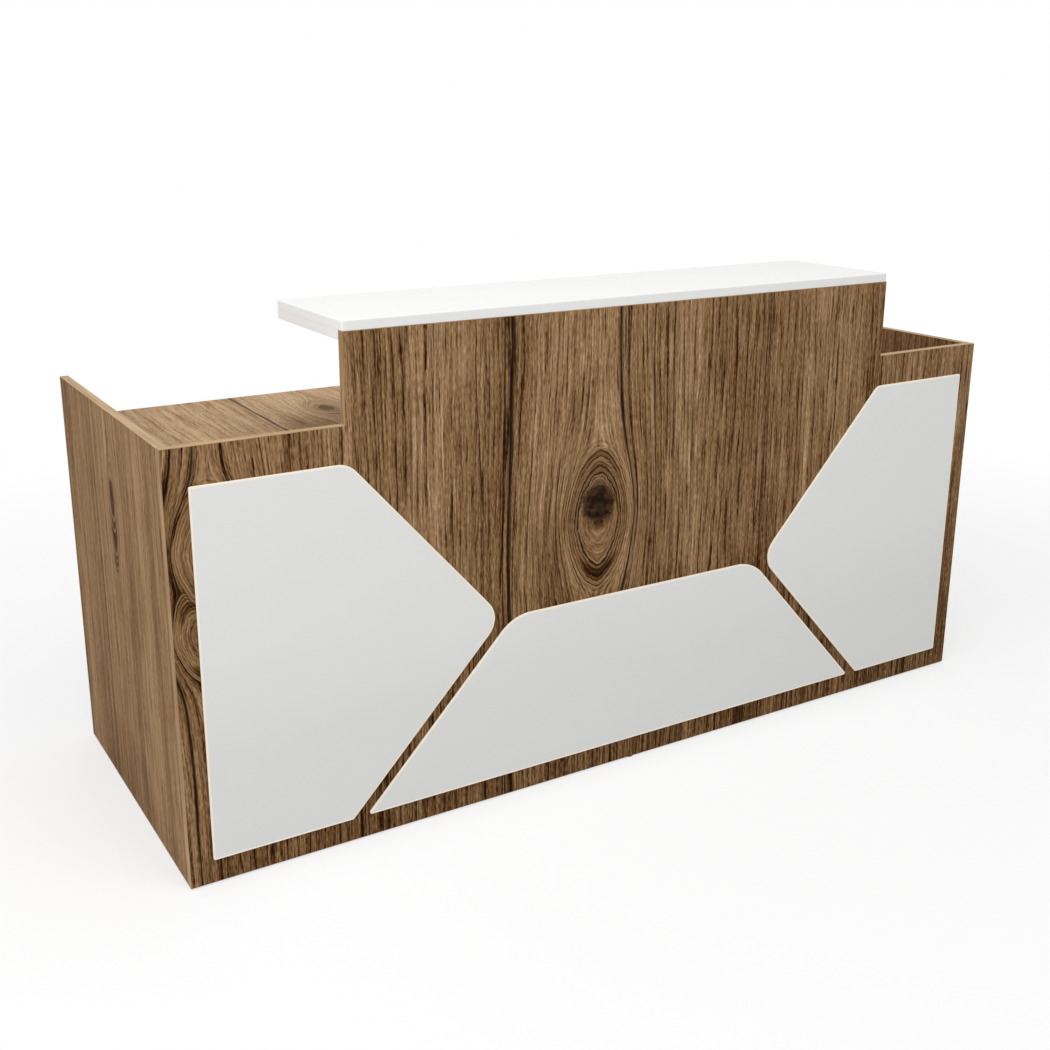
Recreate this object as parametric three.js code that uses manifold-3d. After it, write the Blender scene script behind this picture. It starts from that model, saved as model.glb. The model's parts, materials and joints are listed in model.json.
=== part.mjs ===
// Reception desk with a raised middle.
//
// A T-shaped front board and two end panels stand on small screw feet and hold a recessed work top.
// A white counter of two board layers caps the raised part of the front, three white panels are
// planted on the front in relief, and a pedestal of three drawers stands at one end of the staff side.
//
// Millimetres. +X is the visitor's right, +Y runs from the visitor to the staff and +Z is up.
// The origin lies on the floor, under the middle of the desk.

import * as THREE from 'three';
import { mergeVertices } from 'three/addons/utils/BufferGeometryUtils.js';
import Module from 'manifold-3d';

const wasm = await Module();
wasm.setup();

// Board stock and clearances
const boardThickness = 18;
const workTopThickness = 25;
const reliefThickness = 4;
const seam = 0.3; // hairline between pieces that lie against each other
const turningClearance = 0.3; // around a piece that turns in its hole
const reveal = 3; // open joint around a drawer front

// Overall sizes of the desk
const deskWidth = 2000;
const deskDepth = 720; // from the front board's face to the back edges of the end panels
const endPanelHeight = 836;
const frontRise = 170; // how far the middle of the front board stands above the end panels
const stepLeft = 338; // low shoulder of the front board at the visitor's left
const stepRight = 318; // and at the visitor's right
const workDrop = 86; // from the end panels' rim down to the work surface
const workTopSetback = 12; // work top's back edge, in from the end panels' back edges

// Counter
const counterDepth = 310;
const counterCornerRadius = 6; // free corners of both layers, seen from above
const counterButtRadius = 1; // corners of the lower layer that lie against the front board
const uprightDepth = 270;
const uprightInset = 260; // from each end of the counter to the upright under it

// White panels in relief on the front board
const reliefSideMargin = 45;
const reliefBottomMargin = 48;
const reliefTopMargin = 70.5; // below the front board's shoulders
const leftHeadWidth = 296; // top edge of the left panel
const leftFootWidth = 282; // its bottom edge
const leftReach = 620; // from its outer edge to its point
const leftHeadRadius = 50;
const rightHeadWidth = 278; // the same of the right panel, which is a little narrower
const rightFootWidth = 277;
const rightReach = 605;
const rightHeadRadius = 25; // its head is rounded less
const reliefPointHeight = 402.5; // above the front board's bottom edge
const reliefPointRadius = 50;
const middleReliefHeight = 399; // top edge of the middle panel above the board's bottom edge
const middleReliefRadius = 100;
const grooveWidth = 22; // slanted groove between neighbouring panels
const reliefEdgeRadius = 4; // corners that are only eased

// Screw feet
const footHeight = 3; // gap that the feet keep under the boards
const footRadius = 8;
const footEdge = 0.6; // chamfer around the base
const studRadius = 3;
const studLength = 24; // thread above the boards' bottom edges
const studRoom = 2; // free depth of the hole past the thread
const footInset = 60; // from the ends of a board to its feet

// Angle brackets under the work top
const bracketLeg = 50;
const bracketWidth = 40;
const bracketGauge = 2.5;
const bracketBend = 5; // outside radius of the bend
const bracketHoleRadius = 2.5;
const bracketHoleReach = 34; // from the bend's outer corner to the screw holes
const bracketHoleSpread = 20; // between the two holes of a leg
const bracketEndInset = 130; // brackets on the side boards, from the boards' front and back ends
const bracketFrontSpread = 700; // between the two brackets on the front board
const bracketFrontShift = -210; // middle of those two, towards the open end of the knee space

// Cable grommet
const grommetX = 230;
const grommetSetback = 80; // from the front board's inner face to the grommet's middle
const grommetHoleRadius = 30;
const grommetWall = 2;
const grommetFlange = 5; // overhang of the ring on the work surface
const grommetFlangeHeight = 2.5;
const grommetDepth = 22; // ring's length below the work surface
const capLedge = 2.2; // inward ledge that carries the cap
const capLedgeDrop = 1; // ledge's top below the work surface
const capLedgeHeight = 2;
const cableSlotWidth = 16;
const cableSlotDepth = 14; // from the cap's rim inwards

// Drawer pedestal
const drawerNames = ['bottom', 'middle', 'top'];
const bayWidth = 400; // clear width between the pedestal's sides
const pedestalSetback = 38; // from the end panels' back edges to the drawer fronts' faces
const frontGap = 2; // between a closed drawer front and the pedestal's edges
const plinthHeight = 60;
const plinthSetback = 40; // behind the drawer fronts' inner faces
const drawerFrontThickness = 18;
const drawerWall = 12; // sides and back
const drawerBoxHeight = 150;
const drawerBoxRise = 36; // above the bottom edge of the drawer front
const drawerLength = 500;
const drawerBottomThickness = 4;
const grooveDepth = 6; // groove in the drawer sides that holds the bottom
const grooveRise = 10; // above the sides' lower edges

// Drawer runners
const runnerSpace = 13; // between a drawer side and the pedestal's side
const runnerLength = 490;
const runnerFrontRoom = 5; // runner's end behind the drawer front
const runnerHeight = 45;
const runnerGauge = 1.2;
const cabinetChannelDepth = 10;
const channelLip = 3; // lips that hold the drawer channel in the cabinet channel
const runnerClearance = 0.5;
const hookReach = 7.5; // drawer channel's hooks, from the face on the drawer side

// Drawer pulls
const pullSpan = 128;
const pullRodRadius = 5;
const pullProjection = 30;
const pullBend = 14; // radius of the rod's bends

// Facets
const arcSteps = 8; // half the facets of a rounded corner
const roundSides = 24;
const rodSides = 10;
const rodSteps = 36;

// Faces and levels that the boards share
const halfWidth = deskWidth / 2;
const reliefStand = seam + reliefThickness;
const frontFace = (reliefStand - deskDepth) / 2;
const frontBack = frontFace + boardThickness;
const staffEdge = frontFace + deskDepth;
const innerWall = halfWidth - boardThickness;
const rimTop = footHeight + endPanelHeight;
const raisedTop = rimTop + frontRise;
const raisedLeft = stepLeft - halfWidth;
const raisedRight = halfWidth - stepRight;
const workSurface = rimTop - workDrop;
const workUnderside = workSurface - workTopThickness;
const drawerFrontFace = staffEdge - pedestalSetback;
const drawerFrontBack = drawerFrontFace - drawerFrontThickness;
const pedestalEdge = drawerFrontBack - frontGap;
const bayRight = innerWall;
const bayLeft = bayRight - bayWidth;
const bayMiddle = bayRight - bayWidth / 2;
const pedestalFloorLow = footHeight + plinthHeight;
const pedestalFloorTop = pedestalFloorLow + boardThickness;

const finishes = {
  rusticBoard: { color: 0x7f6248, roughness: 0.62, metalness: 0 },
  whiteRelief: { color: 0xd8d8d5, roughness: 0.5, metalness: 0 },
  whiteCounter: { color: 0xececea, roughness: 0.4, metalness: 0 },
  drawerBoard: { color: 0xcfccc4, roughness: 0.65, metalness: 0 },
  zincSteel: { color: 0xb3b6b8, roughness: 0.4, metalness: 0.9 },
  brushedSteel: { color: 0xa9a9a6, roughness: 0.3, metalness: 1 },
  blackPlastic: { color: 0x1e1e20, roughness: 0.55, metalness: 0 },
};

function piece(name, finish, geometry) {
  const mesh = new THREE.Mesh(geometry, new THREE.MeshStandardMaterial(finishes[finish]));
  mesh.name = name;
  return mesh;
}

// A square-edged board between a low and a high limit along each axis.
function board(name, finish, [x0, x1], [y0, y1], [z0, z1]) {
  const mesh = piece(name, finish, new THREE.BoxGeometry(x1 - x0, y1 - y0, z1 - z0));
  mesh.position.set((x0 + x1) / 2, (y0 + y1) / 2, (z0 + z1) / 2);
  return mesh;
}

// A board between two heights, whose plan is an outline in X and Y.
function flatBoard(name, finish, plan, [z0, z1]) {
  const options = { depth: z1 - z0, bevelEnabled: false, curveSegments: arcSteps };
  const mesh = piece(name, finish, new THREE.ExtrudeGeometry(plan, options));
  mesh.position.z = z0;
  return mesh;
}

// A profile drawn in X and Z and carried along Y, from y = -length to y = 0.
function carriedAlongY(shape, length) {
  const options = { depth: length, bevelEnabled: false, curveSegments: arcSteps };
  return new THREE.ExtrudeGeometry(shape, options).rotateX(Math.PI / 2);
}

// A profile of radius and height turned about the Z axis.
function turnedAboutZ(profile) {
  const points = profile.map(([radius, height]) => new THREE.Vector2(radius, height));
  return new THREE.LatheGeometry(points, roundSides).rotateX(Math.PI / 2);
}

function polygon(points) {
  return new THREE.Shape(points.map(([x, z]) => new THREE.Vector2(x, z)));
}

// An outline through corners, each given as two coordinates and the radius of an arc tangent to both sides.
function roundedOutline(corners) {
  const points = corners.map(([x, z]) => new THREE.Vector2(x, z));
  const outline = new THREE.Shape();
  corners.forEach(([, , radius], i) => {
    const corner = points[i];
    const before = points.at(i - 1).clone().sub(corner).normalize();
    const after = points[(i + 1) % points.length].clone().sub(corner).normalize();
    const halfAngle = Math.acos(before.dot(after)) / 2;
    const bisector = before.clone().add(after).normalize();
    const centre = corner.clone().addScaledVector(bisector, radius / Math.sin(halfAngle));
    const tangent = radius / Math.tan(halfAngle);
    const start = corner.clone().addScaledVector(before, tangent).sub(centre);
    const end = corner.clone().addScaledVector(after, tangent).sub(centre);
    const clockwise = before.cross(after) > 0;
    outline.absarc(centre.x, centre.y, radius, start.angle(), end.angle(), clockwise);
  });
  return outline;
}

function solidOf(geometry) {
  const bare = geometry.clone();
  bare.deleteAttribute('normal');
  bare.deleteAttribute('uv');
  const welded = mergeVertices(bare);
  const vertProperties = welded.attributes.position.array;
  const triVerts = new Uint32Array(welded.index.array);
  return new wasm.Manifold(new wasm.Mesh({ numProp: 3, vertProperties, triVerts }));
}

// Takes the cutters, which share the geometry's own frame, out of it.
function cut(geometry, cutters) {
  const solid = cutters.reduce((left, cutter) => left.subtract(solidOf(cutter)), solidOf(geometry));
  const { vertProperties, triVerts } = solid.getMesh();
  const result = new THREE.BufferGeometry();
  result.setAttribute('position', new THREE.BufferAttribute(vertProperties, 3));
  result.setIndex(new THREE.BufferAttribute(triVerts, 1));
  result.computeVertexNormals();
  return result;
}

// Screw feet: where each stands, and the holes that they leave in the boards above them
const sideBoardMiddle = halfWidth - boardThickness / 2;
const pedestalSideMiddle = bayLeft - boardThickness / 2;
const feet = {
  foot_left_front: [-sideBoardMiddle, frontBack + footInset],
  foot_left_back: [-sideBoardMiddle, staffEdge - footInset],
  foot_right_front: [sideBoardMiddle, frontBack + footInset],
  foot_right_back: [sideBoardMiddle, staffEdge - footInset],
  foot_front_middle: [0, frontFace + boardThickness / 2],
  foot_pedestal: [pedestalSideMiddle, pedestalEdge - footInset],
};

function drillForFeet(mesh, ...names) {
  const depth = studLength + studRoom;
  const holes = names.map((name) => {
    const [x, y] = feet[name];
    const hole = new THREE.CylinderGeometry(
      studRadius + turningClearance,
      studRadius + turningClearance,
      2 * depth,
      roundSides,
    );
    hole.rotateX(Math.PI / 2);
    return hole.translate(x - mesh.position.x, y - mesh.position.y, footHeight - mesh.position.z);
  });
  mesh.geometry = cut(mesh.geometry, holes);
  return mesh;
}

function screwFoot(name) {
  const baseTop = footHeight - seam;
  const studTop = footHeight + studLength;
  const mesh = piece(name, 'blackPlastic', turnedAboutZ([
    [0, 0],
    [footRadius - footEdge, 0],
    [footRadius, footEdge],
    [footRadius, baseTop - footEdge],
    [footRadius - footEdge, baseTop],
    [studRadius, baseTop],
    [studRadius, studTop],
    [0, studTop],
  ]));
  const [x, y] = feet[name];
  mesh.position.set(x, y, 0);
  return mesh;
}

// Front board, end panels and work top
function frontBoard() {
  const outline = polygon([
    [-halfWidth, footHeight],
    [halfWidth, footHeight],
    [halfWidth, rimTop],
    [raisedRight, rimTop],
    [raisedRight, raisedTop],
    [raisedLeft, raisedTop],
    [raisedLeft, rimTop],
    [-halfWidth, rimTop],
  ]);
  const mesh = piece('front_board', 'rusticBoard', carriedAlongY(outline, boardThickness));
  mesh.position.y = frontBack;
  return drillForFeet(mesh, 'foot_front_middle');
}

function endPanel(side, sideName) {
  const x = [side * innerWall, side * halfWidth].sort((a, b) => a - b);
  const y = [frontBack + seam, staffEdge];
  const mesh = board(`end_panel_${sideName}`, 'rusticBoard', x, y, [footHeight, rimTop]);
  return drillForFeet(mesh, `foot_${sideName}_front`, `foot_${sideName}_back`);
}

const grommetY = frontBack + grommetSetback;

function workTop() {
  const right = innerWall - seam;
  const front = frontBack + seam;
  const back = staffEdge - workTopSetback;
  const outline = polygon([[-right, front], [right, front], [right, back], [-right, back]]);
  const hole = new THREE.Path();
  hole.absarc(grommetX, grommetY, grommetHoleRadius, 0, 2 * Math.PI);
  outline.holes.push(hole);
  const options = { depth: workTopThickness, bevelEnabled: false, curveSegments: roundSides / 2 };
  const mesh = piece('work_top', 'rusticBoard', new THREE.ExtrudeGeometry(outline, options));
  mesh.position.z = workUnderside;
  return mesh;
}

// White panels in relief: the slanted grooves between them keep one width all along
const reliefOuter = halfWidth - reliefSideMargin;
const reliefBottom = footHeight + reliefBottomMargin;
const reliefTop = rimTop - reliefTopMargin;
const reliefPoint = footHeight + reliefPointHeight;
const middleReliefTop = footHeight + middleReliefHeight;
const sides = { left: -1, right: 1 };
const sideReliefs = {
  left: { head: leftHeadWidth, foot: leftFootWidth, reach: leftReach, headRadius: leftHeadRadius },
  right: { head: rightHeadWidth, foot: rightFootWidth, reach: rightReach, headRadius: rightHeadRadius },
};

function reliefPanel(name, corners) {
  const geometry = carriedAlongY(roundedOutline(corners), reliefThickness);
  const mesh = piece(name, 'whiteRelief', geometry);
  mesh.position.y = frontFace - seam;
  return mesh;
}

function sideRelief(sideName) {
  const side = sides[sideName];
  const { head, foot, reach, headRadius } = sideReliefs[sideName];
  return reliefPanel(`relief_panel_${sideName}`, [
    [side * reliefOuter, reliefBottom, reliefEdgeRadius],
    [side * (reliefOuter - foot), reliefBottom, reliefEdgeRadius],
    [side * (reliefOuter - reach), reliefPoint, reliefPointRadius],
    [side * (reliefOuter - head), reliefTop, headRadius],
    [side * reliefOuter, reliefTop, reliefEdgeRadius],
  ]);
}

function middleRelief() {
  const ends = Object.entries(sides).map(([sideName, side]) => {
    const { foot, reach } = sideReliefs[sideName];
    const slant = (reach - foot) / (reliefPoint - reliefBottom);
    const footX = reliefOuter - foot - grooveWidth * Math.hypot(1, slant);
    const headX = footX - slant * (middleReliefTop - reliefBottom);
    return { footX: side * footX, headX: side * headX };
  });
  const [left, right] = ends;
  return reliefPanel('relief_panel_middle', [
    [left.footX, reliefBottom, reliefEdgeRadius],
    [right.footX, reliefBottom, reliefEdgeRadius],
    [right.headX, middleReliefTop, middleReliefRadius],
    [left.headX, middleReliefTop, middleReliefRadius],
  ]);
}

// Counter: the upper layer covers the front board's top edge, the lower one lies behind that board
function counterPlan(front, frontRadius) {
  const back = frontFace + counterDepth;
  return roundedOutline([
    [raisedLeft, front, frontRadius],
    [raisedRight, front, frontRadius],
    [raisedRight, back, counterCornerRadius],
    [raisedLeft, back, counterCornerRadius],
  ]);
}

function counter() {
  const group = new THREE.Group();
  const upperPlan = counterPlan(frontFace, counterCornerRadius);
  const lowerPlan = counterPlan(frontBack + seam, counterButtRadius);
  const upper = [raisedTop + seam, raisedTop + seam + boardThickness];
  const lower = [raisedTop - boardThickness, raisedTop];
  group.add(flatBoard('counter_top', 'whiteCounter', upperPlan, upper));
  group.add(flatBoard('counter_under_layer', 'whiteCounter', lowerPlan, lower));
  const y = [frontBack + seam, frontBack + uprightDepth];
  const z = [workSurface + seam, raisedTop - boardThickness - seam];
  const uprightLefts = {
    left: raisedLeft + uprightInset,
    right: raisedRight - uprightInset - boardThickness,
  };
  for (const [sideName, low] of Object.entries(uprightLefts)) {
    const span = [low, low + boardThickness];
    group.add(board(`counter_upright_${sideName}`, 'rusticBoard', span, y, z));
  }
  return group;
}

// Angle bracket: its outer corner is the origin, one leg hangs down and the other runs along +X
function bracket(name) {
  const inside = bracketBend - bracketGauge;
  const profile = new THREE.Shape();
  profile.moveTo(0, -bracketLeg);
  profile.lineTo(bracketGauge, -bracketLeg);
  profile.absarc(bracketBend, -bracketBend, inside, Math.PI, Math.PI / 2, true);
  profile.lineTo(bracketLeg, -bracketGauge);
  profile.lineTo(bracketLeg, 0);
  profile.absarc(bracketBend, -bracketBend, bracketBend, Math.PI / 2, Math.PI);
  const geometry = carriedAlongY(profile, bracketWidth).translate(0, bracketWidth / 2, 0);
  const drill = () => new THREE.CylinderGeometry(
    bracketHoleRadius,
    bracketHoleRadius,
    2 * bracketBend,
    roundSides,
  );
  const holes = [-bracketHoleSpread / 2, bracketHoleSpread / 2].flatMap((y) => [
    drill().rotateZ(Math.PI / 2).translate(0, y, -bracketHoleReach),
    drill().rotateX(Math.PI / 2).translate(bracketHoleReach, y, 0),
  ]);
  return piece(name, 'zincSteel', cut(geometry, holes));
}

function brackets() {
  const group = new THREE.Group();
  const sideFront = frontBack + bracketEndInset;
  const sideBack = pedestalEdge - bracketEndInset;
  const kneeLeft = seam - innerWall;
  const kneeRight = bayLeft - boardThickness - seam;
  const kneeFront = frontBack + seam;
  const frontLeft = bracketFrontShift - bracketFrontSpread / 2;
  const frontRight = bracketFrontShift + bracketFrontSpread / 2;
  const places = {
    bracket_left_front: [kneeLeft, sideFront, 0],
    bracket_left_back: [kneeLeft, sideBack, 0],
    bracket_pedestal_front: [kneeRight, sideFront, Math.PI],
    bracket_pedestal_back: [kneeRight, sideBack, Math.PI],
    bracket_front_left: [frontLeft, kneeFront, Math.PI / 2],
    bracket_front_right: [frontRight, kneeFront, Math.PI / 2],
  };
  for (const [name, [x, y, turn]] of Object.entries(places)) {
    const mesh = bracket(name);
    mesh.position.set(x, y, workUnderside - seam);
    mesh.rotation.z = turn;
    group.add(mesh);
  }
  return group;
}

// Cable grommet: the ring hangs in the work top by its flange, and the cap turns on the ring's ledge
function grommet() {
  const group = new THREE.Group();
  const ringRadius = grommetHoleRadius - seam;
  const bore = ringRadius - grommetWall;
  const ledgeRadius = bore - capLedge;
  const flangeRadius = grommetHoleRadius + grommetFlange;
  const flangeTop = seam + grommetFlangeHeight;
  const ledgeTop = -capLedgeDrop;
  const ledgeLow = ledgeTop - capLedgeHeight;
  const ring = turnedAboutZ([
    [bore, -grommetDepth],
    [ringRadius, -grommetDepth],
    [ringRadius, seam],
    [flangeRadius, seam],
    [flangeRadius, flangeTop - grommetFlangeHeight / 2],
    [flangeRadius - grommetFlangeHeight / 2, flangeTop],
    [bore, flangeTop],
    [bore, ledgeTop],
    [ledgeRadius, ledgeTop],
    [ledgeRadius, ledgeLow],
    [bore, ledgeLow],
    [bore, -grommetDepth],
  ]);
  const capRadius = bore - turningClearance;
  const capLow = ledgeTop + turningClearance;
  const cap = turnedAboutZ([
    [0, capLow],
    [capRadius, capLow],
    [capRadius, flangeTop],
    [0, flangeTop],
  ]);
  const slot = new THREE.BoxGeometry(cableSlotWidth, 2 * cableSlotDepth, 4 * grommetFlangeHeight);
  slot.translate(0, -capRadius, 0);
  group.add(piece('grommet_ring', 'blackPlastic', ring));
  group.add(piece('grommet_cap', 'blackPlastic', cut(cap, [slot])));
  group.position.set(grommetX, grommetY, workSurface);
  return group;
}

// Pedestal: inner side, floor and plinth, with the right end panel as its outer side
function pedestal() {
  const group = new THREE.Group();
  const y = [frontBack + seam, pedestalEdge];
  const x = [bayLeft + seam, bayRight - seam];
  const sideX = [bayLeft - boardThickness, bayLeft];
  const plinthBack = drawerFrontBack - plinthSetback;
  const plinthY = [plinthBack - boardThickness, plinthBack];
  const sideZ = [footHeight, workUnderside - seam];
  const side = board('pedestal_side', 'rusticBoard', sideX, y, sideZ);
  group.add(drillForFeet(side, 'foot_pedestal'));
  const floorZ = [pedestalFloorLow, pedestalFloorTop];
  group.add(board('pedestal_floor', 'rusticBoard', x, y, floorZ));
  const plinthZ = [footHeight, pedestalFloorLow - seam];
  group.add(board('pedestal_plinth', 'rusticBoard', x, plinthY, plinthZ));
  return group;
}

// Runner profiles. Each is drawn with x = 0 on its own mounting face, and the lower half mirrors the upper.
function channel(side, upperHalf) {
  const lowerHalf = upperHalf.toReversed().map(([x, z]) => [x, -z]);
  return polygon([...upperHalf, ...lowerHalf].map(([x, z]) => [side * x, z]));
}

function cabinetChannel(side) {
  const half = runnerHeight / 2;
  const lipStart = cabinetChannelDepth - runnerGauge;
  return channel(side, [
    [0, half],
    [cabinetChannelDepth, half],
    [cabinetChannelDepth, half - channelLip],
    [lipStart, half - channelLip],
    [lipStart, half - runnerGauge],
    [runnerGauge, half - runnerGauge],
  ]);
}

function drawerChannel(side) {
  const half = runnerHeight / 2 - channelLip - runnerClearance;
  const hookTop = runnerHeight / 2 - runnerGauge - runnerClearance;
  const hookStart = hookReach - runnerGauge;
  return channel(-side, [
    [0, half],
    [hookStart, half],
    [hookStart, hookTop],
    [hookReach, hookTop],
    [hookReach, half - runnerGauge],
    [runnerGauge, half - runnerGauge],
  ]);
}

const runnerRise = drawerBoxRise + drawerBoxHeight / 2; // runner's middle above the front's bottom edge

function runner(name, profile, wall) {
  const mesh = piece(name, 'zincSteel', carriedAlongY(profile, runnerLength));
  mesh.position.set(wall, -runnerFrontRoom, runnerRise);
  return mesh;
}

// Bent rod pull on the drawer front's face, which is y = 0 here
function pullGeometry() {
  const half = pullSpan / 2;
  const grip = pullProjection - pullRodRadius;
  const at = (x, y) => new THREE.Vector3(x, y, 0);
  const path = new THREE.CurvePath();
  path.add(new THREE.LineCurve3(at(-half, 0), at(-half, grip - pullBend)));
  path.add(new THREE.QuadraticBezierCurve3(
    at(-half, grip - pullBend),
    at(-half, grip),
    at(pullBend - half, grip),
  ));
  path.add(new THREE.LineCurve3(at(pullBend - half, grip), at(half - pullBend, grip)));
  path.add(new THREE.QuadraticBezierCurve3(
    at(half - pullBend, grip),
    at(half, grip),
    at(half, grip - pullBend),
  ));
  path.add(new THREE.LineCurve3(at(half, grip - pullBend), at(half, 0)));
  const section = new THREE.Shape();
  section.absarc(0, 0, pullRodRadius, 0, 2 * Math.PI);
  const options = { steps: rodSteps, extrudePath: path, curveSegments: rodSides / 2 };
  return new THREE.ExtrudeGeometry(section, options);
}

// A drawer's own frame: x = 0 in the middle of the bay, y = 0 on the inner face of the drawer front
// and z = 0 on that front's bottom edge.
const frontsLow = pedestalFloorLow;
const frontsHigh = workUnderside - reveal;
const frontPitch = (frontsHigh - frontsLow + reveal) / drawerNames.length;
const drawerFrontHeight = frontPitch - reveal;
const drawerHalf = bayWidth / 2 - runnerSpace; // middle of the bay to the drawer sides' outer faces

function drawer(drawerName) {
  const group = new THREE.Group();
  const prefix = `drawer_${drawerName}`;
  const frontX = [-bayWidth / 2 - boardThickness, bayWidth / 2 - reveal];
  const frontY = [0, drawerFrontThickness];
  group.add(board(`${prefix}_front`, 'rusticBoard', frontX, frontY, [0, drawerFrontHeight]));

  const low = drawerBoxRise;
  const high = drawerBoxRise + drawerBoxHeight;
  const outer = drawerHalf;
  const inner = drawerHalf - drawerWall;
  const grooveEnd = inner + grooveDepth;
  const grooveLow = low + grooveRise;
  const grooveHigh = grooveLow + drawerBottomThickness + 2 * seam;
  for (const [sideName, side] of Object.entries(sides)) {
    const profile = polygon([
      [inner, low],
      [outer, low],
      [outer, high],
      [inner, high],
      [inner, grooveHigh],
      [grooveEnd, grooveHigh],
      [grooveEnd, grooveLow],
      [inner, grooveLow],
    ].map(([x, z]) => [side * x, z]));
    const geometry = carriedAlongY(profile, drawerLength);
    const mesh = piece(`${prefix}_side_${sideName}`, 'drawerBoard', geometry);
    mesh.position.y = -seam;
    group.add(mesh);
    const wall = side * (drawerHalf + seam);
    group.add(runner(`${prefix}_channel_${sideName}`, drawerChannel(-side), wall));
  }

  const end = -seam - drawerLength;
  const bottomX = [seam - grooveEnd, grooveEnd - seam];
  const bottomTop = grooveHigh - seam;
  const bottomZ = [grooveLow + seam, bottomTop];
  group.add(board(`${prefix}_bottom`, 'drawerBoard', bottomX, [end, -seam], bottomZ));
  const backX = [seam - inner, inner - seam];
  const backY = [end, end + drawerWall];
  group.add(board(`${prefix}_back`, 'drawerBoard', backX, backY, [bottomTop + seam, high]));

  const pull = piece(`${prefix}_pull`, 'brushedSteel', pullGeometry());
  const frontMiddle = (frontX[0] + frontX[1]) / 2;
  pull.position.set(frontMiddle, drawerFrontThickness + seam, drawerFrontHeight / 2);
  group.add(pull);
  return group;
}

function drawerStack() {
  const stack = new THREE.Group();
  drawerNames.forEach((drawerName, level) => {
    const bay = new THREE.Group();
    bay.position.set(bayMiddle, drawerFrontBack, frontsLow + level * frontPitch);
    bay.add(drawer(drawerName));
    for (const [sideName, side] of Object.entries(sides)) {
      const wall = side * (bayWidth / 2 - seam);
      bay.add(runner(`runner_${drawerName}_${sideName}`, cabinetChannel(-side), wall));
    }
    stack.add(bay);
  });
  return stack;
}

const desk = new THREE.Group();
desk.add(frontBoard());
for (const [sideName, side] of Object.entries(sides)) {
  desk.add(endPanel(side, sideName));
}
desk.add(workTop());
desk.add(sideRelief('left'));
desk.add(sideRelief('right'));
desk.add(middleRelief());
desk.add(counter());
desk.add(brackets());
desk.add(grommet());
desk.add(pedestal());
desk.add(drawerStack());
for (const name of Object.keys(feet)) {
  desk.add(screwFoot(name));
}

export default desk;
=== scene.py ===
# %% [markdown]
# # A reception desk in rustic wood decor and white
#
# The desk is cut from coated boards. A T-shaped front board and two end panels carry a recessed work top,
# a white counter caps the raised middle of the front, and three white panels are planted on the front in
# relief. The staff side has a knee space, a pedestal of three drawers, and a cable grommet in the work top.
#
# The construction model already holds every piece at its real size and place, so this script only dresses
# it. Each cell takes a piece's size from that model, works out a finer surface with numpy, and gives it a
# finish.

# %% Load the construction model
import json
import math

import bmesh
import bpy
import numpy as np
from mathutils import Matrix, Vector
from mathutils.geometry import tessellate_polygon

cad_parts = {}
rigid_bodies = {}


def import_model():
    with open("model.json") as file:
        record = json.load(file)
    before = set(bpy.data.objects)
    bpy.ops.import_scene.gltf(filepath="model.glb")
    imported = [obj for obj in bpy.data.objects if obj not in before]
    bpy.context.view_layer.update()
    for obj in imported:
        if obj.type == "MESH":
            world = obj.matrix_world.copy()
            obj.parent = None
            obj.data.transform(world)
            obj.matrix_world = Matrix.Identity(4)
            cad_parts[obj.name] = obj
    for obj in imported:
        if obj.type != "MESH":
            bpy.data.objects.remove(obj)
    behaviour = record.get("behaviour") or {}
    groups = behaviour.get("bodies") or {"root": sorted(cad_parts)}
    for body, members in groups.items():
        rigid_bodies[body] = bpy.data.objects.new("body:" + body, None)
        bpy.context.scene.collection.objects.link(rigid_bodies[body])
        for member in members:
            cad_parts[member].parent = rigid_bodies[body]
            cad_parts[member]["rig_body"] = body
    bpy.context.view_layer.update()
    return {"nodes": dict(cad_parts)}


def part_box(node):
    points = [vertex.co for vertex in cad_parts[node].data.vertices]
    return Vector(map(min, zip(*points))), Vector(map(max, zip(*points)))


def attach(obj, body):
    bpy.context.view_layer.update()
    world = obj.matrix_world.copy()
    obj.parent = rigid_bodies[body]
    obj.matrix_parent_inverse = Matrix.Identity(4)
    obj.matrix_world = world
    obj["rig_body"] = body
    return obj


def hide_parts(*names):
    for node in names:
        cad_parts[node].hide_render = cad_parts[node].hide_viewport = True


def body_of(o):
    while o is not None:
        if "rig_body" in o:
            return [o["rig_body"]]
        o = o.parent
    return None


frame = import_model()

print("pieces in the construction model:", len(frame["nodes"]))

# %% [markdown]
# ## Camera
#
# The desk is seen from the visitor's side, from the left and a little above the counter. The two ends run
# to vanishing points on both sides of the picture, and the verticals lean, so the lens was worked out from
# those directions: a normal lens, tilted down. The picture was trimmed after it was taken, which a small
# lens shift repeats.

# %% Camera
PICTURE_SIDE = 1050.0                       # pixels, both ways
AXIS_IN_PICTURE = (500.6, 476.5)            # pixel at which the lens axis meets the picture
EYE = (-1.5691, -2.4281, 1.3816)
HEADING_DEG = 30.744                        # to the right of +Y
TILT_DEG = 15.863                           # below the horizon
LENS_MM = 44.13
SENSOR_MM = 36.0

camera = bpy.data.objects.new("camera", bpy.data.cameras.new("camera"))
camera.data.sensor_width = SENSOR_MM
camera.data.lens = LENS_MM
camera.data.shift_x = 0.5 - AXIS_IN_PICTURE[0] / PICTURE_SIDE
camera.data.shift_y = AXIS_IN_PICTURE[1] / PICTURE_SIDE - 0.5
camera.data.clip_end = 100.0
camera.location = EYE
camera.rotation_euler = (math.radians(90.0 - TILT_DEG), 0.0, -math.radians(HEADING_DEG))
bpy.context.scene.collection.objects.link(camera)
bpy.context.scene.camera = camera
print("lens", LENS_MM, "mm, shifted by", round(camera.data.shift_x, 4), round(camera.data.shift_y, 4))

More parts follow.
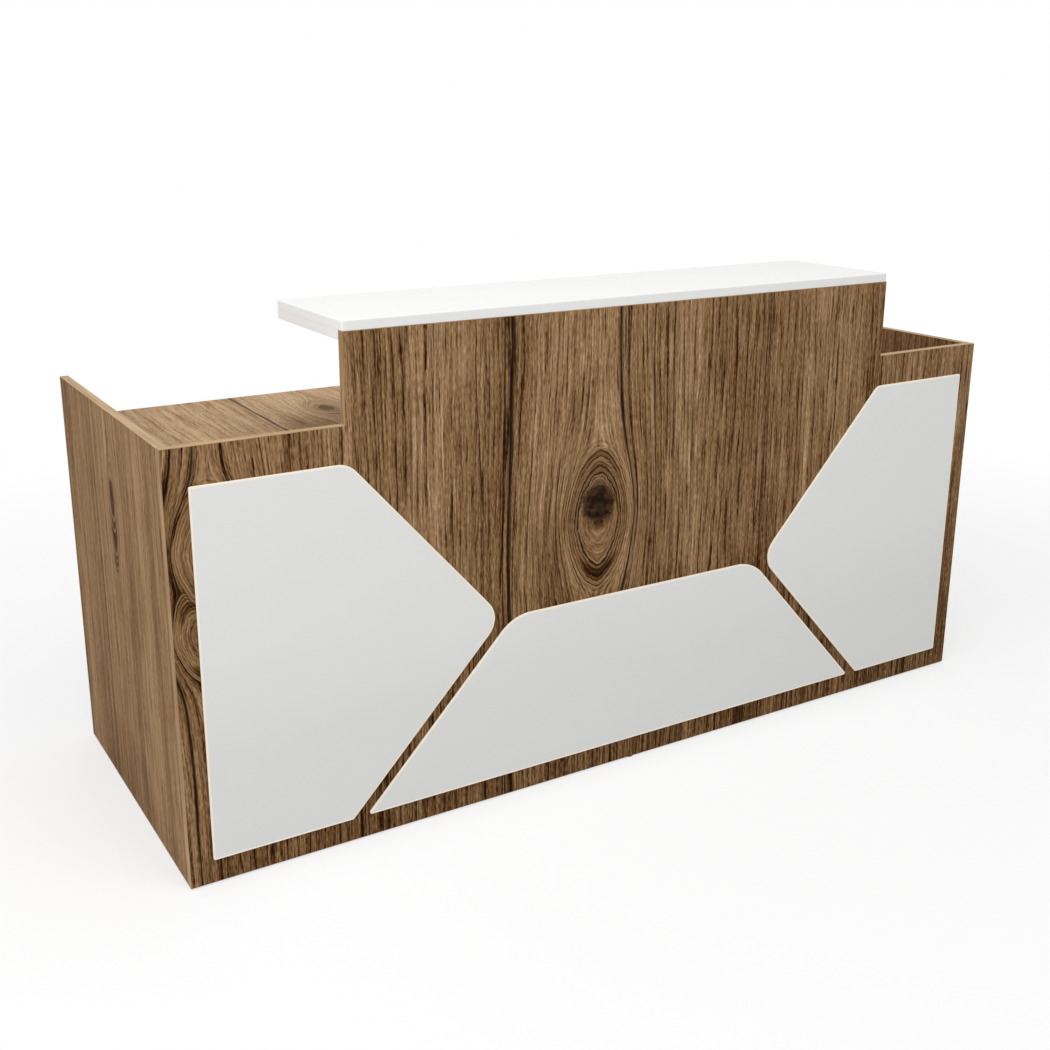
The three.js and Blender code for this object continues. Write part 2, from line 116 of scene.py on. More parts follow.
# %% [markdown]
# ## A node helper
#
# A procedural finish is arithmetic on a point's place in the piece. Linked by hand, node after node, that
# arithmetic is hard to read. So a node's output is wrapped in a small class that knows the signs: writing
# `(a - b) * 2.0` adds two Math nodes and links them. A second class adds the other nodes. Patterns read
# Object coordinates, which are metres in the desk's own frame.

# %% Node helper: values
def srgb(red, green, blue):
    """Linear colour of three screen values from 0 to 255: the sRGB curve, undone."""
    value = np.array([red, green, blue]) / 255.0
    linear = np.where(value <= 0.04045, value / 12.92, ((value + 0.055) / 1.055) ** 2.4)
    return (*linear.tolist(), 1.0)


class Value:
    """What a node gives at each point of a surface. The signs of arithmetic add Math nodes."""

    def __init__(self, shade, socket):
        self.shade = shade
        self.socket = socket

    def __add__(self, other):
        return self.shade.math("ADD", self, other)

    def __sub__(self, other):
        return self.shade.math("SUBTRACT", self, other)

    def __rsub__(self, other):
        return self.shade.math("SUBTRACT", other, self)

    def __mul__(self, other):
        return self.shade.math("MULTIPLY", self, other)

    def __truediv__(self, other):
        return self.shade.math("DIVIDE", self, other)

    def __pow__(self, power):
        return self.shade.math("POWER", self, power)

    def __abs__(self):
        return self.shade.math("ABSOLUTE", self)

    __radd__ = __add__
    __rmul__ = __mul__


print("screen grey 128 is", round(srgb(128, 128, 128)[0], 3), "in linear light")


# %% Node helper: nodes
class Shade:
    """The nodes of one material or sky, with short calls that add a node and give back its value."""

    def __init__(self, owner):
        owner.use_nodes = True
        self.owner = owner
        self.tree = owner.node_tree

    def node(self, kind, values=(), **settings):
        """A new node with its settings made and its inputs fed, in their order or by their names."""
        made = self.tree.nodes.new(kind)
        for key, value in settings.items():
            setattr(made, key, value)
        for key, value in values.items() if isinstance(values, dict) else enumerate(values):
            self.feed(made.inputs[key], value)
        return made

    def feed(self, socket, value):
        """Links a value to an input, or sets a plain number on it."""
        if isinstance(value, Value):
            self.tree.links.new(value.socket, socket)
        elif value is not None:
            socket.default_value = value

    def out(self, node, which=0):
        return Value(self, node.outputs[which])

    def point(self):
        """A point's place in the desk's frame."""
        return self.out(self.node("ShaderNodeTexCoord"), "Object")

    def part(self, vector, letter):
        """The X, Y or Z of a vector."""
        return self.out(self.node("ShaderNodeSeparateXYZ", [vector]), letter)

    def vector(self, x, y, z=0.0):
        return self.out(self.node("ShaderNodeCombineXYZ", [x, y, z]))

    def math(self, operation, *values):
        return self.out(self.node("ShaderNodeMath", values, operation=operation))

    def step(self, value, low, high, to_low=0.0, to_high=1.0):
        """A smooth step: to_low where value is low, to_high where it is high."""
        limits = [value, low, high, to_low, to_high]
        return self.out(self.node("ShaderNodeMapRange", limits, interpolation_type="SMOOTHSTEP"))

    def between(self, value, start, full, until, end):
        """1 where value lies from full to until, and smoothly 0 at start below them and at end above."""
        return self.step(value, start, full) * self.step(value, end, until)

    def noise(self, point, rates, detail=2.0, roughness=0.5, shift=0.0):
        """Noise from 0 to 1 on a point whose axes are first multiplied by rates, in cycles per metre."""
        scaled = self.node("ShaderNodeMapping", [point, (shift, shift, shift), None, rates])
        fed = {"Vector": self.out(scaled), "Scale": 1.0, "Detail": detail, "Roughness": roughness}
        made = self.node("ShaderNodeTexNoise", fed, noise_dimensions="3D", normalize=True)
        return self.out(made, "Fac")

    def ramp(self, value, stops):
        """A colour that follows value through stops, a list of (value, linear colour)."""
        made = self.node("ShaderNodeValToRGB", [value])
        band = made.color_ramp
        while len(band.elements) < len(stops):
            band.elements.new(0.5)
        for element, (place, colour) in zip(band.elements, stops):
            element.position = place
            element.color = colour
        return self.out(made, "Color")

    def mix(self, share, first, second):
        """Colour first where share is 0, second where it is 1."""
        return self.out(self.node("ShaderNodeMix", {0: share, 6: first, 7: second}, data_type="RGBA"), 2)

    def dress(self, colour, roughness, height, relief, strength, specular=0.5, metallic=0.0):
        """Feeds the surface, with a bump of that relief in metres, and gives the material back."""
        bump = self.node("ShaderNodeBump", {"Strength": strength, "Distance": relief, "Height": height})
        surface = self.tree.nodes["Principled BSDF"].inputs
        self.feed(surface["Base Color"], colour)
        self.feed(surface["Roughness"], roughness)
        self.feed(surface["Specular IOR Level"], specular)
        self.feed(surface["Metallic"], metallic)
        self.feed(surface["Normal"], self.out(bump))
        return self.owner


print("node helper ready")

# %% [markdown]
# ## Rustic wood decor: knots
#
# The brown boards are chipboard under a printed and embossed wood decor. A picture of a board would be one
# way to make it, but a pattern worked out from the place has no seams and stays sharp close up.
#
# A knot is the root of a branch, and the fibres part round it like water round a pile. A dark oval over
# straight lines would look painted on. So the coordinate across the grain is bent before any pattern reads
# it: far from the knot it is unchanged, and at the knot's edge it closes up. Inside that edge the pattern
# reads the distance from the middle instead, which draws the rings.

# %% Wood decor: knots
ALMOND = 1.75                               # power of the edge: 2 is an ellipse, 1 a diamond
KNOT_RINGS = 13.0                           # fine rings from the middle of a knot to its edge
RING_TONE = -0.36                           # tones that a knot adds to the sheet
CRESCENT_TONE = -0.46
ARCH_TONE = -0.10
INSIDE_TONE = -0.03
MIDDLE_TONE = -0.16


def part_round_knot(shade, across, along, knot):
    """The grain coordinate bent round one knot, its calm, its tone, and the shares of its heart and core.

    m is 1 on the knot's edge: |distance across / half width| and |distance along / half length|, each to
    the almond's power, added, and the sum to one over that power. Outside, a point at distance d across is
    read at d times (1 - 1 / m cubed). Inside it is read at m to the power 2.5 times 1.6 half widths, so
    that a few rings crowd at the edge, and a ragged noise moves m and the rings a little. The calm fades
    the growth lines inside. The tone adds fine rings that follow m on both sides of the edge, a dark
    crescent at the lower end, a thin arch at the upper end, and a darker middle. The heart is a ragged
    ellipse and the core the cracked part of it, and all are as deep as the knot's depth.
    """
    middle_across, middle_along, half_width, half_length, heart_width, heart_length, rise, depth = knot
    from_across = across - middle_across
    from_along = along - middle_along
    tall = from_along / half_length
    sides = abs(from_across / half_width) ** ALMOND + abs(tall) ** ALMOND
    almond = sides ** (1.0 / ALMOND)
    parted = across - from_across / shade.math("MAXIMUM", almond ** 3.0, 1.0)
    here = shade.vector(across, along)
    ragged = shade.noise(here, (45.0, 30.0, 1.0), detail=3.0, roughness=0.65) - 0.5
    measure = almond + ragged * 0.09
    ring = measure ** 2.5 * (1.6 * half_width) + ragged * (0.10 * half_width) + middle_across
    inside = shade.step(measure, 1.06, 0.92)
    bent = parted + inside * (ring - parted)
    calm = inside * 0.40 + shade.step(measure, 0.88, 0.60, 0.0, 0.55)
    crescent = shade.step(tall, -0.45, -0.78) * shade.between(measure, 0.66, 0.80, 0.84, 0.96)
    arch = shade.step(tall, 0.55, 0.85) * shade.between(measure, 0.86, 0.95, 0.98, 1.06)
    rings = shade.math("FRACT", measure * KNOT_RINGS) ** 4.0
    near_edge = shade.between(measure, 0.66, 0.78, 1.10, 1.28)
    tone = inside * INSIDE_TONE + crescent * CRESCENT_TONE + arch * ARCH_TONE
    tone = tone + shade.step(measure, 0.85, 0.45) * MIDDLE_TONE + rings * near_edge * RING_TONE
    heart_wide = from_across / heart_width
    heart_tall = (from_along - rise) / heart_length
    heart_edge = shade.math("SQRT", heart_wide * heart_wide + heart_tall * heart_tall)
    heart = shade.step(heart_edge + ragged * 0.8, 1.15, 0.70, 0.0, 0.92 * depth)
    cracked = shade.noise(here, (50.0, 85.0, 1.0), shift=3.0) - 0.5
    core = shade.step(heart_edge + cracked * 2.6, 0.80, 0.46, 0.0, depth ** 3)
    return bent, calm, tone * depth, heart, core


print("rings in a knot:", KNOT_RINGS)

# %% [markdown]
# ## Rustic wood decor: the sheet
#
# Four things make the print look like wood: broad light and dark zones, growth lines about two centimetres
# apart that start pale and end dark, fine streaks, and short dark pores. All of them run along the grain,
# so each is a noise that is stretched a long way in that direction. A wave texture would repeat its lines
# evenly. Here no two growth lines are equally dark, because each takes a chance number of its own.

# %% Wood decor: tones and spots
WOOD_TONES = [
    (0.00, srgb(30, 12, 3)),
    (0.25, srgb(80, 51, 25)),
    (0.50, srgb(126, 95, 63)),
    (0.75, srgb(160, 128, 94)),
    (1.00, srgb(194, 165, 131)),
]
KNOT_HEART = srgb(58, 36, 20)
KNOT_CORE = srgb(15, 8, 4)
CRACK = srgb(22, 11, 4)


def soft_spot(shade, across, along, spot):
    """1 in the middle of an ellipse (across, along, half width, half length), smoothly 0 at its edge."""
    middle_across, middle_along, half_width, half_length = spot
    wide = (across - middle_across) / half_width
    tall = (along - middle_along) / half_length
    return shade.step(wide * wide + tall * tall, 1.0, 0.0)


print("tones of the wood:", len(WOOD_TONES))

# %% Wood decor: the sheet
GROWTH_LINES_PER_METRE = 62.0
SWAY = 0.014                                # metres by which the grain bends over about half a metre
WANDER = 0.006                              # and over about ten centimetres
BASE_TONE = 0.59                            # of the sheet, before any pattern
LINE_TONE = -0.60                           # at the dark end of a growth line
PORE_TONE = -0.28
EMBOSSED = 0.0005                           # depth of the embossed grain


def rustic_decor(name, across, along, knots=(), cracks=(), spots=(),
                 lift=0.0, lined=1.0, fine=1.0, shift=0.0):
    """Wood decor whose grain runs along one axis letter and whose growth lines are spaced along another.

    knots are (across, along, half width, half length, heart's half width, half length and rise, depth),
    cracks are (across, width, depth) and spots are (across, along, half width, half length, tone). lift
    makes the sheet lighter, lined and fine deepen its growth lines and its fine texture, and shift picks
    another part of it.
    """
    shade = Shade(bpy.data.materials.new(name))
    side = shade.part(shade.point(), across)
    run = shade.part(shade.point(), along)
    plain = shade.vector(side, run)
    sway = shade.noise(plain, (4.0, 1.6, 1.0), shift=shift) - 0.5
    wander = shade.noise(plain, (16.0, 9.0, 1.0), shift=shift + 2.0) - 0.5
    grain = side + sway * SWAY + wander * WANDER
    heart, core, calm, tone = 0.0, 0.0, 0.0, 0.0
    for knot in knots:
        grain, own_calm, own_tone, own_heart, own_core = part_round_knot(shade, grain, run, knot)
        calm = shade.math("MAXIMUM", calm, own_calm)
        heart = shade.math("MAXIMUM", heart, own_heart)
        core = shade.math("MAXIMUM", core, own_core)
        tone = tone + own_tone
    fibre = shade.vector(grain, run)
    zones = shade.noise(fibre, (9.0, 0.7, 1.0), shift=shift)
    streaks = shade.noise(fibre, (58.0, 1.0, 1.0), detail=4.0, roughness=0.65, shift=shift)
    hair = shade.noise(fibre, (250.0, 7.0, 1.0), roughness=0.6, shift=shift)
    speckle = shade.noise(fibre, (400.0, 75.0, 1.0), detail=1.0, shift=shift)
    tone = tone + (BASE_TONE + lift)
    for texture, weight in ((zones, 0.55), (streaks, 0.72), (hair, 0.95 * fine), (speckle, 0.70 * fine)):
        tone = tone + (texture - 0.5) * weight
    lines = grain * GROWTH_LINES_PER_METRE + zones * 6.0 + streaks * 0.9
    late = shade.math("FRACT", lines) ** 4.0
    counted = {"W": shade.math("FLOOR", lines)}
    chance = shade.out(shade.node("ShaderNodeTexWhiteNoise", counted, noise_dimensions="1D"), "Value")
    breaks = shade.noise(fibre, (42.0, 9.0, 1.0), detail=3.0, shift=shift + 5.0)
    dark_line = late * shade.step(breaks, 0.38, 0.60, 0.14) * (chance * 0.95 + 0.30) * (1.0 - calm)
    pores = shade.step(shade.noise(fibre, (290.0, 11.0, 1.0), detail=1.0, shift=shift), 0.57, 0.70)
    tone = tone + dark_line * (LINE_TONE * lined) + pores * (PORE_TONE * fine)
    for *spot, own_tone in spots:
        tone = tone + soft_spot(shade, grain, run, spot) * own_tone
    colour = shade.mix(heart, shade.ramp(tone, WOOD_TONES), shade.mix(core, KNOT_HEART, KNOT_CORE))
    for crack_across, width, depth in cracks:
        off = abs(grain - crack_across) + hair * width
        colour = shade.mix(shade.step(off, 1.6 * width, 0.55 * width, 0.0, depth), colour, CRACK)
    roughness = shade.step(hair, 0.2, 0.8, 0.72, 0.58)
    emboss = shade.noise(plain, (420.0, 14.0, 420.0), detail=1.0, shift=shift)
    return shade.dress(colour, roughness, emboss, relief=EMBOSSED, strength=0.25, specular=0.03)


print("growth lines per metre:", GROWTH_LINES_PER_METRE)

# %% [markdown]
# ## Rustic wood decor: four sheets
#
# Every board is cut from one print, but each shows another part of it. The front, the near end and the work
# top have knots, cracks and light and dark zones that give the desk its look, so their places are written
# down as rows of numbers in metres. One wide dark zone along the foot of the front is painted shade near the
# floor. The far end takes the pattern as it comes, made darker all over as painted shade.

# %% Wood decor: four sheets
FRONT_KNOTS = [
    (-0.104, 0.572, 0.074, 0.146, 0.042, 0.052, 0.034, 1.0),
    (-0.922, 0.650, 0.064, 0.110, 0.010, 0.020, 0.0, 0.9),
    (-0.935, 0.490, 0.050, 0.085, 0.010, 0.022, 0.0, 0.9),
]
FRONT_CRACKS = [
    (-0.3110, 0.0084, 0.98),
    (-0.3260, 0.0036, 0.85),
    (-0.0600, 0.0058, 0.96),
    (-0.0420, 0.0032, 0.80),
    (0.0260, 0.0030, 0.72),
    (0.0760, 0.0028, 0.60),
    (0.1300, 0.0025, 0.55),
    (0.3360, 0.0045, 0.35),
    (-0.9760, 0.0046, 0.95),
    (-0.9390, 0.0034, 0.85),
    (-0.5300, 0.0022, 0.55),
    (-0.6000, 0.0022, 0.55),
]
FRONT_SPOTS = [
    (-0.104, 0.770, 0.050, 0.090, 0.05),
    (-0.600, 0.850, 0.080, 0.900, -0.08),
    (-0.480, 0.850, 0.060, 0.600, 0.06),
    (-0.360, 0.700, 0.070, 0.900, -0.06),
    (-0.220, 0.880, 0.060, 0.300, 0.06),
    (-0.230, 0.480, 0.110, 0.160, -0.12),
    (0.120, 0.750, 0.070, 0.600, 0.07),
    (0.350, 0.700, 0.100, 0.900, -0.08),
    (0.480, 0.850, 0.060, 0.600, 0.06),
    (0.610, 0.850, 0.070, 0.600, -0.05),
    (0.980, 0.300, 0.060, 0.480, -0.13),
    (-0.970, 0.600, 0.060, 0.300, -0.13),
    (-0.980, 0.120, 0.070, 0.280, 0.10),
    (-0.928, 0.700, 0.014, 0.036, -0.34),
    (-0.891, 0.546, 0.022, 0.034, -0.30),
    (0.307, 0.020, 0.022, 0.100, -0.30),
    # painted shade near the floor: the whole front drawn darker towards its foot
    (0.000, 0.000, 9.000, 0.480, -0.16),
]
END_KNOTS = [
    (-0.009, 0.666, 0.030, 0.070, 0.015, 0.044, 0.0, 0.88),
    (-0.007, 0.583, 0.022, 0.050, 0.011, 0.032, 0.0, 0.80),
    (-0.005, 0.533, 0.010, 0.024, 0.006, 0.016, 0.0, 0.70),
]
END_CRACKS = [
    (0.120, 0.0060, 0.34),
    (-0.269, 0.0050, 0.25),
    (0.346, 0.0090, 0.45),
]
END_SPOTS = [
    (-0.080, 0.760, 0.160, 0.340, 0.08),
    (-0.200, 0.200, 0.120, 0.300, 0.05),
    (0.200, 0.500, 0.100, 0.700, -0.08),
    (0.030, 0.040, 0.260, 0.160, -0.10),
]
TOP_KNOTS = [(-0.485, 0.145, 0.040, 0.080, 0.016, 0.030, 0.0, 0.72)]
TOP_CRACKS = [(-0.635, 0.0058, 0.86)]
TOP_SPOTS = [
    (-0.730, 0.260, 0.070, 0.300, 0.12),
    (-0.530, 0.320, 0.070, 0.160, 0.10),
    (-0.570, 0.010, 0.080, 0.130, -0.14),
]

front_decor = rustic_decor("front_decor", "X", "Z", FRONT_KNOTS, FRONT_CRACKS, FRONT_SPOTS)
end_decor = rustic_decor("end_decor", "Y", "Z", END_KNOTS, END_CRACKS, END_SPOTS,
                         lift=0.02, lined=0.22, fine=0.62, shift=7.0)
# the far end panel's decor is drawn darker all over: painted shade
far_end_shaded_decor = rustic_decor("far_end_shaded_decor", "Y", "Z", lift=-0.07, lined=0.60, fine=0.80, shift=19.0)
top_decor = rustic_decor("top_decor", "X", "Y", TOP_KNOTS, TOP_CRACKS, TOP_SPOTS,
                         lift=0.29, lined=0.40, fine=0.75, shift=13.0)
print("wood decors:", front_decor.name, end_decor.name, far_end_shaded_decor.name, top_decor.name)

# %% [markdown]
# ## Edge band
#
# Chipboard is closed at its edges with a glued strip, the edge band. It is printed to match, but plainer
# and paler than the faces, with straight fine lines along the strip. The lines have to follow the edge
# round corners, so this finish reads the board's own UV map: its first coordinate is the length along the
# edge, in metres.

# %% Edge band
BAND_TONES = [(0.15, srgb(112, 84, 54)), (0.50, srgb(156, 126, 91)), (0.85, srgb(194, 165, 127))]
RIM_PAINTED_HIGHLIGHT = 0.23                               # painted highlight: how much paler the rims that face up are drawn


def edge_band():
    """Oak strip: a noise stretched along the first coordinate of "edge", with a painted highlight where it
    faces up.
    """
    shade = Shade(bpy.data.materials.new("edge_band"))
    along = shade.out(shade.node("ShaderNodeUVMap", uv_map="edge"))
    lines = shade.noise(along, (3.0, 520.0, 1.0), detail=3.0, roughness=0.6)
    cloud = shade.noise(along, (6.0, 70.0, 1.0))
    up = shade.part(shade.out(shade.node("ShaderNodeNewGeometry"), "Normal"), "Z")
    # faces that look up get a painted highlight
    tone = lines + (cloud - 0.5) * 0.75 + shade.step(up, 0.5, 0.95, 0.0, RIM_PAINTED_HIGHLIGHT)
    colour = shade.ramp(tone, BAND_TONES)
    roughness = shade.step(tone, 0.2, 0.8, 0.60, 0.48)
    return shade.dress(colour, roughness, lines, relief=0.0003, strength=0.2, specular=0.06)


band = edge_band()
print("edge band ready")

# %% [markdown]
# ## White finishes
#
# The relief panels are lacquered fibreboard: white with a faint grey, and under raking light the lacquer
# shows the shallow ripple that painters call orange peel. Their grey deepens towards the floor as painted
# shade, and their rounded edges get a brighter, creamier white as a painted highlight. The counter is a white
# laminate, whiter and smoother, with the fine pebble of its press plate. Its long edges are a greyer copy of
# it, painted shade, and its two ends a whiter copy, painted light. A plain white would look like paper, so
# one function gives each its own tones, ripple and gloss.

# %% White finishes
def white_finish(name, pale, deep, ripple_rate, ripple_relief, gloss, painted_shade_heights=None):
    """White with a slow cloud between two close tones, a ripple of that rate per metre, and a fine pebble.

    With painted_shade_heights, two heights, the tone goes from deep at the lower one to pale at the upper
    one, a painted shade towards the floor, and the cloud adds to it.
    """
    shade = Shade(bpy.data.materials.new(name))
    where = shade.point()
    cloud = shade.noise(where, (2.2, 2.2, 2.2), detail=3.0, roughness=0.6)
    ripple = shade.noise(where, (ripple_rate,) * 3)
    pebble = shade.noise(where, (ripple_rate * 7.0,) * 3, detail=1.0)
    tone = cloud
    if painted_shade_heights:
        tone = shade.step(shade.part(where, "Z"), *painted_shade_heights) + (cloud - 0.5) * 0.4
    colour = shade.ramp(tone, [(0.2, srgb(*deep)), (0.8, srgb(*pale))])
    roughness = shade.step(cloud, 0.25, 0.75, gloss - 0.05, gloss + 0.05)
    return shade.dress(colour, roughness, ripple + pebble * 0.3, relief=ripple_relief, strength=0.25)


LACQUER = (90.0, 0.0004, 0.48)              # ripple rate, relief and gloss
HIGHLIGHT_LACQUER = (90.0, 0.0003, 0.45)
LAMINATE = (160.0, 0.0003, 0.38)
COATING = (260.0, 0.0003, 0.60)
# heights between which the relief lacquer goes from its painted shade near the floor to its pale tone
RELIEF_PAINTED_SHADE = (0.10, 0.60)
relief_lacquer = white_finish("relief_lacquer", (225, 225, 223), (219, 219, 217), *LACQUER, RELIEF_PAINTED_SHADE)
# the relief panels' edges: a brighter, creamier white that is a painted highlight
relief_edge_highlight = white_finish("relief_edge_highlight", (246, 236, 220), (240, 230, 214), *HIGHLIGHT_LACQUER)
counter_laminate = white_finish("counter_laminate", (236, 236, 234), (232, 232, 230), *LAMINATE)
# the counter's long edges are a greyer copy of the laminate, painted shade; its ends a whiter copy, painted
# light
counter_shaded_edges = white_finish("counter_shaded_edges", (228, 228, 226), (225, 225, 223), *LAMINATE)
counter_lit_ends = white_finish("counter_lit_ends", (243, 243, 241), (240, 240, 238), *LAMINATE)
drawer_lining = white_finish("drawer_lining", (214, 211, 203), (206, 203, 195), *COATING)
print("white finishes:", relief_lacquer.name, counter_laminate.name, drawer_lining.name)

# %% [markdown]
# ## Metal and plastic
#
# The runners and brackets are zinc-plated sheet: a bluish grey with cloudy patches, the spangle of the
# plating. The pulls are brushed rod, with fine lines along it. The feet and the grommet are black plastic
# with a moulded grain. Each finish is one pattern that moves colour, roughness and a shallow bump together,
# because on the real part they have one cause.

# %% Metal and plastic
def zinc_steel():
    """Zinc plate: cells of slightly different grey and roughness, a Voronoi pattern, over rolling lines."""
    shade = Shade(bpy.data.materials.new("zinc_steel"))
    where = shade.point()
    cells = shade.node("ShaderNodeTexVoronoi", {"Vector": where, "Scale": 160.0}, feature="F1")
    spangle = shade.out(shade.node("ShaderNodeSeparateColor", [shade.out(cells, "Color")]))
    rolled = shade.noise(where, (900.0, 30.0, 900.0))
    colour = shade.ramp(spangle, [(0.0, srgb(168, 172, 176)), (1.0, srgb(196, 199, 202))])
    roughness = spangle * 0.12 + 0.30
    return shade.dress(colour, roughness, rolled, relief=0.0002, strength=0.15, metallic=0.9)


def brushed_steel():
    """Brushed rod: a noise stretched along X, the way the rod runs, moves roughness and a shallow bump."""
    shade = Shade(bpy.data.materials.new("brushed_steel"))
    lines = shade.noise(shade.point(), (12.0, 1500.0, 1500.0), detail=3.0, roughness=0.7)
    colour = shade.ramp(lines, [(0.2, srgb(160, 160, 157)), (0.8, srgb(192, 192, 189))])
    roughness = shade.step(lines, 0.2, 0.8, 0.24, 0.40)
    return shade.dress(colour, roughness, lines, relief=0.0002, strength=0.2, metallic=1.0)


def black_plastic():
    """Moulded plastic: a pebbled grain of about half a millimetre, and slow clouds in its shine."""
    shade = Shade(bpy.data.materials.new("black_plastic"))
    pebble = shade.noise(shade.point(), (1900.0,) * 3)
    cloud = shade.noise(shade.point(), (60.0,) * 3)
    colour = shade.ramp(cloud, [(0.2, srgb(30, 30, 32)), (0.8, srgb(44, 44, 46))])
    roughness = shade.step(cloud, 0.2, 0.8, 0.45, 0.60)
    return shade.dress(colour, roughness, pebble, relief=0.0003, strength=0.35)


zinc = zinc_steel()
steel = brushed_steel()
plastic = black_plastic()
print("metal and plastic:", zinc.name, steel.name, plastic.name)

# %% [markdown]
# ## Putting a surface into Blender
#
# Every new piece ends the same way: points and faces become a mesh at the origin, which rides on the body
# that it moves with and hides the construction nodes that it stands for. Most surfaces here are grids of
# points, so the faces of a grid are written down once.

# %% Mesh helpers
def put(name, points, faces, finishes, body, slot, stands_for=(), face_finish=None, corner_map=None):
    """A piece from an array of points (n, 3) and a list of faces, which rides on a body.

    face_finish numbers each face's finish, and corner_map holds the map "edge", two numbers for each face
    corner.
    """
    mesh = bpy.data.meshes.new(name)
    mesh.from_pydata(points.tolist(), [], faces)
    mesh.polygons.foreach_set("use_smooth", np.ones(len(faces), bool))
    for finish in finishes:
        mesh.materials.append(finish)
    if face_finish is not None:
        mesh.polygons.foreach_set("material_index", np.asarray(face_finish, np.int32))
    if corner_map is not None:
        mesh.uv_layers.new(name="edge").data.foreach_set("uv", np.asarray(corner_map, np.float32).ravel())
    mesh.update()
    piece = bpy.data.objects.new(name, mesh)
    bpy.context.scene.collection.objects.link(piece)
    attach(piece, body)
    if stands_for:
        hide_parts(*stands_for)
    return piece


def body_of_node(node):
    """The name of the body that a construction node belongs to."""
    return body_of(frame["nodes"][node])[0]


def limits(node):
    """A construction node's lowest and highest corners, as arrays."""
    return tuple(np.array(corner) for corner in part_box(node))


def grid_faces(rows, columns, closed):
    """Row and column numbers and the four corners of each face of a grid whose rows or columns close up.

    A face's corners are (i, j), (i + 1, j), (i + 1, j + 1) and (i, j + 1), counted on from the last one to
    the first in the direction that is closed.
    """
    steps = np.arange(rows - (closed != "rows")), np.arange(columns - (closed != "columns"))
    i, j = (index.ravel() for index in np.meshgrid(*steps, indexing="ij"))
    below, beside = (i + 1) % rows, (j + 1) % columns
    corners = [i * columns + j, below * columns + j, below * columns + beside, i * columns + beside]
    return i, j, np.column_stack(corners)


# %% [markdown]
# ## A board's outline and edge
#
# A real board has no knife edge: the band is scraped to a small radius, and that radius catches a line of
# light. A bevel modifier would do, but a board is also easy to write down: its outline carried round a
# short edge profile. The outline has small arcs at its corners. The profile starts flat on one face, turns
# a quarter circle, runs straight through the thickness and turns again. Points just beside each curve keep
# the flats flat when the shading is smoothed.

# %% Outline
BESIDE = 0.0005                             # distance of the extra points beside a curve
CORNER_STEPS = 10


def unit(vector):
    return vector / np.linalg.norm(vector)


def rounded(corners, steps=CORNER_STEPS):
    """A counter-clockwise outline through corners (a, b, radius).

    Each corner becomes an arc tangent to its two sides: the centre lies on the bisector at
    radius / sin(half angle), and the arc turns through a half circle less the whole angle. One more point
    lies beside each end of the arc.
    """
    spots = np.array([corner[:2] for corner in corners], float)
    stretches = []
    for i, (_, _, radius) in enumerate(corners):
        back = unit(spots[i - 1] - spots[i])
        ahead = unit(spots[(i + 1) % len(spots)] - spots[i])
        half = 0.5 * math.acos(np.clip(back @ ahead, -1.0, 1.0))
        reach = radius / math.tan(half)
        centre = spots[i] + unit(back + ahead) * radius / math.sin(half)
        start = spots[i] + back * reach - centre
        turn = -np.sign(back[0] * ahead[1] - back[1] * ahead[0]) * (math.pi - 2.0 * half)
        angle = math.atan2(start[1], start[0]) + turn * np.linspace(0.0, 1.0, steps + 1)
        arc = centre + radius * np.column_stack([np.cos(angle), np.sin(angle)])
        lead = spots[i] + back * (reach + BESIDE)
        tail = spots[i] + ahead * (reach + BESIDE)
        stretches.append(np.vstack([lead, arc, tail]))
    return np.vstack(stretches)


def inward(loop):
    """For each point of a loop, the step that moves both of its sides one unit to the left: a mitre."""
    edge = np.roll(loop, -1, axis=0) - loop
    normal = np.column_stack([-edge[:, 1], edge[:, 0]]) / np.linalg.norm(edge, axis=1)[:, None]
    before = np.roll(normal, 1, axis=0)
    return (normal + before) / (1.0 + (normal * before).sum(axis=1))[:, None]


print("points at a corner:", CORNER_STEPS + 3)

# %% Edge profile
EASE_STEPS = 3


def edge_profile(thickness, low_ease, high_ease, border):
    """(inset, height) from the low face round the edge to the high face: quarter circle, straight, quarter.

    Each stretch has a finish, 0 on the faces and 1 on the rim, which reaches onto the low face by the
    border's width.
    """
    turn = np.linspace(0.0, 0.5 * math.pi, EASE_STEPS + 1)

    def quarter(ease):
        curve = ease * np.column_stack([1.0 - np.sin(turn), 1.0 - np.cos(turn)])
        return np.vstack([[ease + BESIDE, 0.0], curve, [0.0, ease + BESIDE]])

    low = quarter(low_ease)
    low[0, 0] += border
    high = quarter(high_ease)[::-1] * (1.0, -1.0) + (0.0, thickness)
    profile = np.vstack([low, high])
    finish = np.ones(len(profile) - 1, int)
    finish[0] = 1 if border else 0
    finish[-1] = 0
    return profile, finish


print("points round a board's edge:", len(edge_profile(0.018, 0.001, 0.001, 0.0)[0]))

# %% [markdown]
# ## A board's surface
#
# Outline and profile together are a grid, and the two flat faces are filled between the outline and its
# holes with Blender's own tessellation. The same function serves every board, whichever way it stands: three
# letters say where the outline's two coordinates and the thickness go.

# %% Board surface
def travelled(path):
    """The length run from a path's start to each of its points."""
    return np.concatenate([[0.0], np.cumsum(np.linalg.norm(np.diff(path, axis=0), axis=1))])


def rim_map(loop, profile, i, j):
    """The map "edge" at each face's corners: the length along the loop, and the length round the profile."""
    along = travelled(np.vstack([loop, loop[:1]]))
    over = travelled(profile)
    first = np.column_stack([along[i], along[i + 1], along[i + 1], along[i]])
    second = np.column_stack([over[j], over[j], over[j + 1], over[j + 1]])
    return np.stack([first, second], axis=-1)


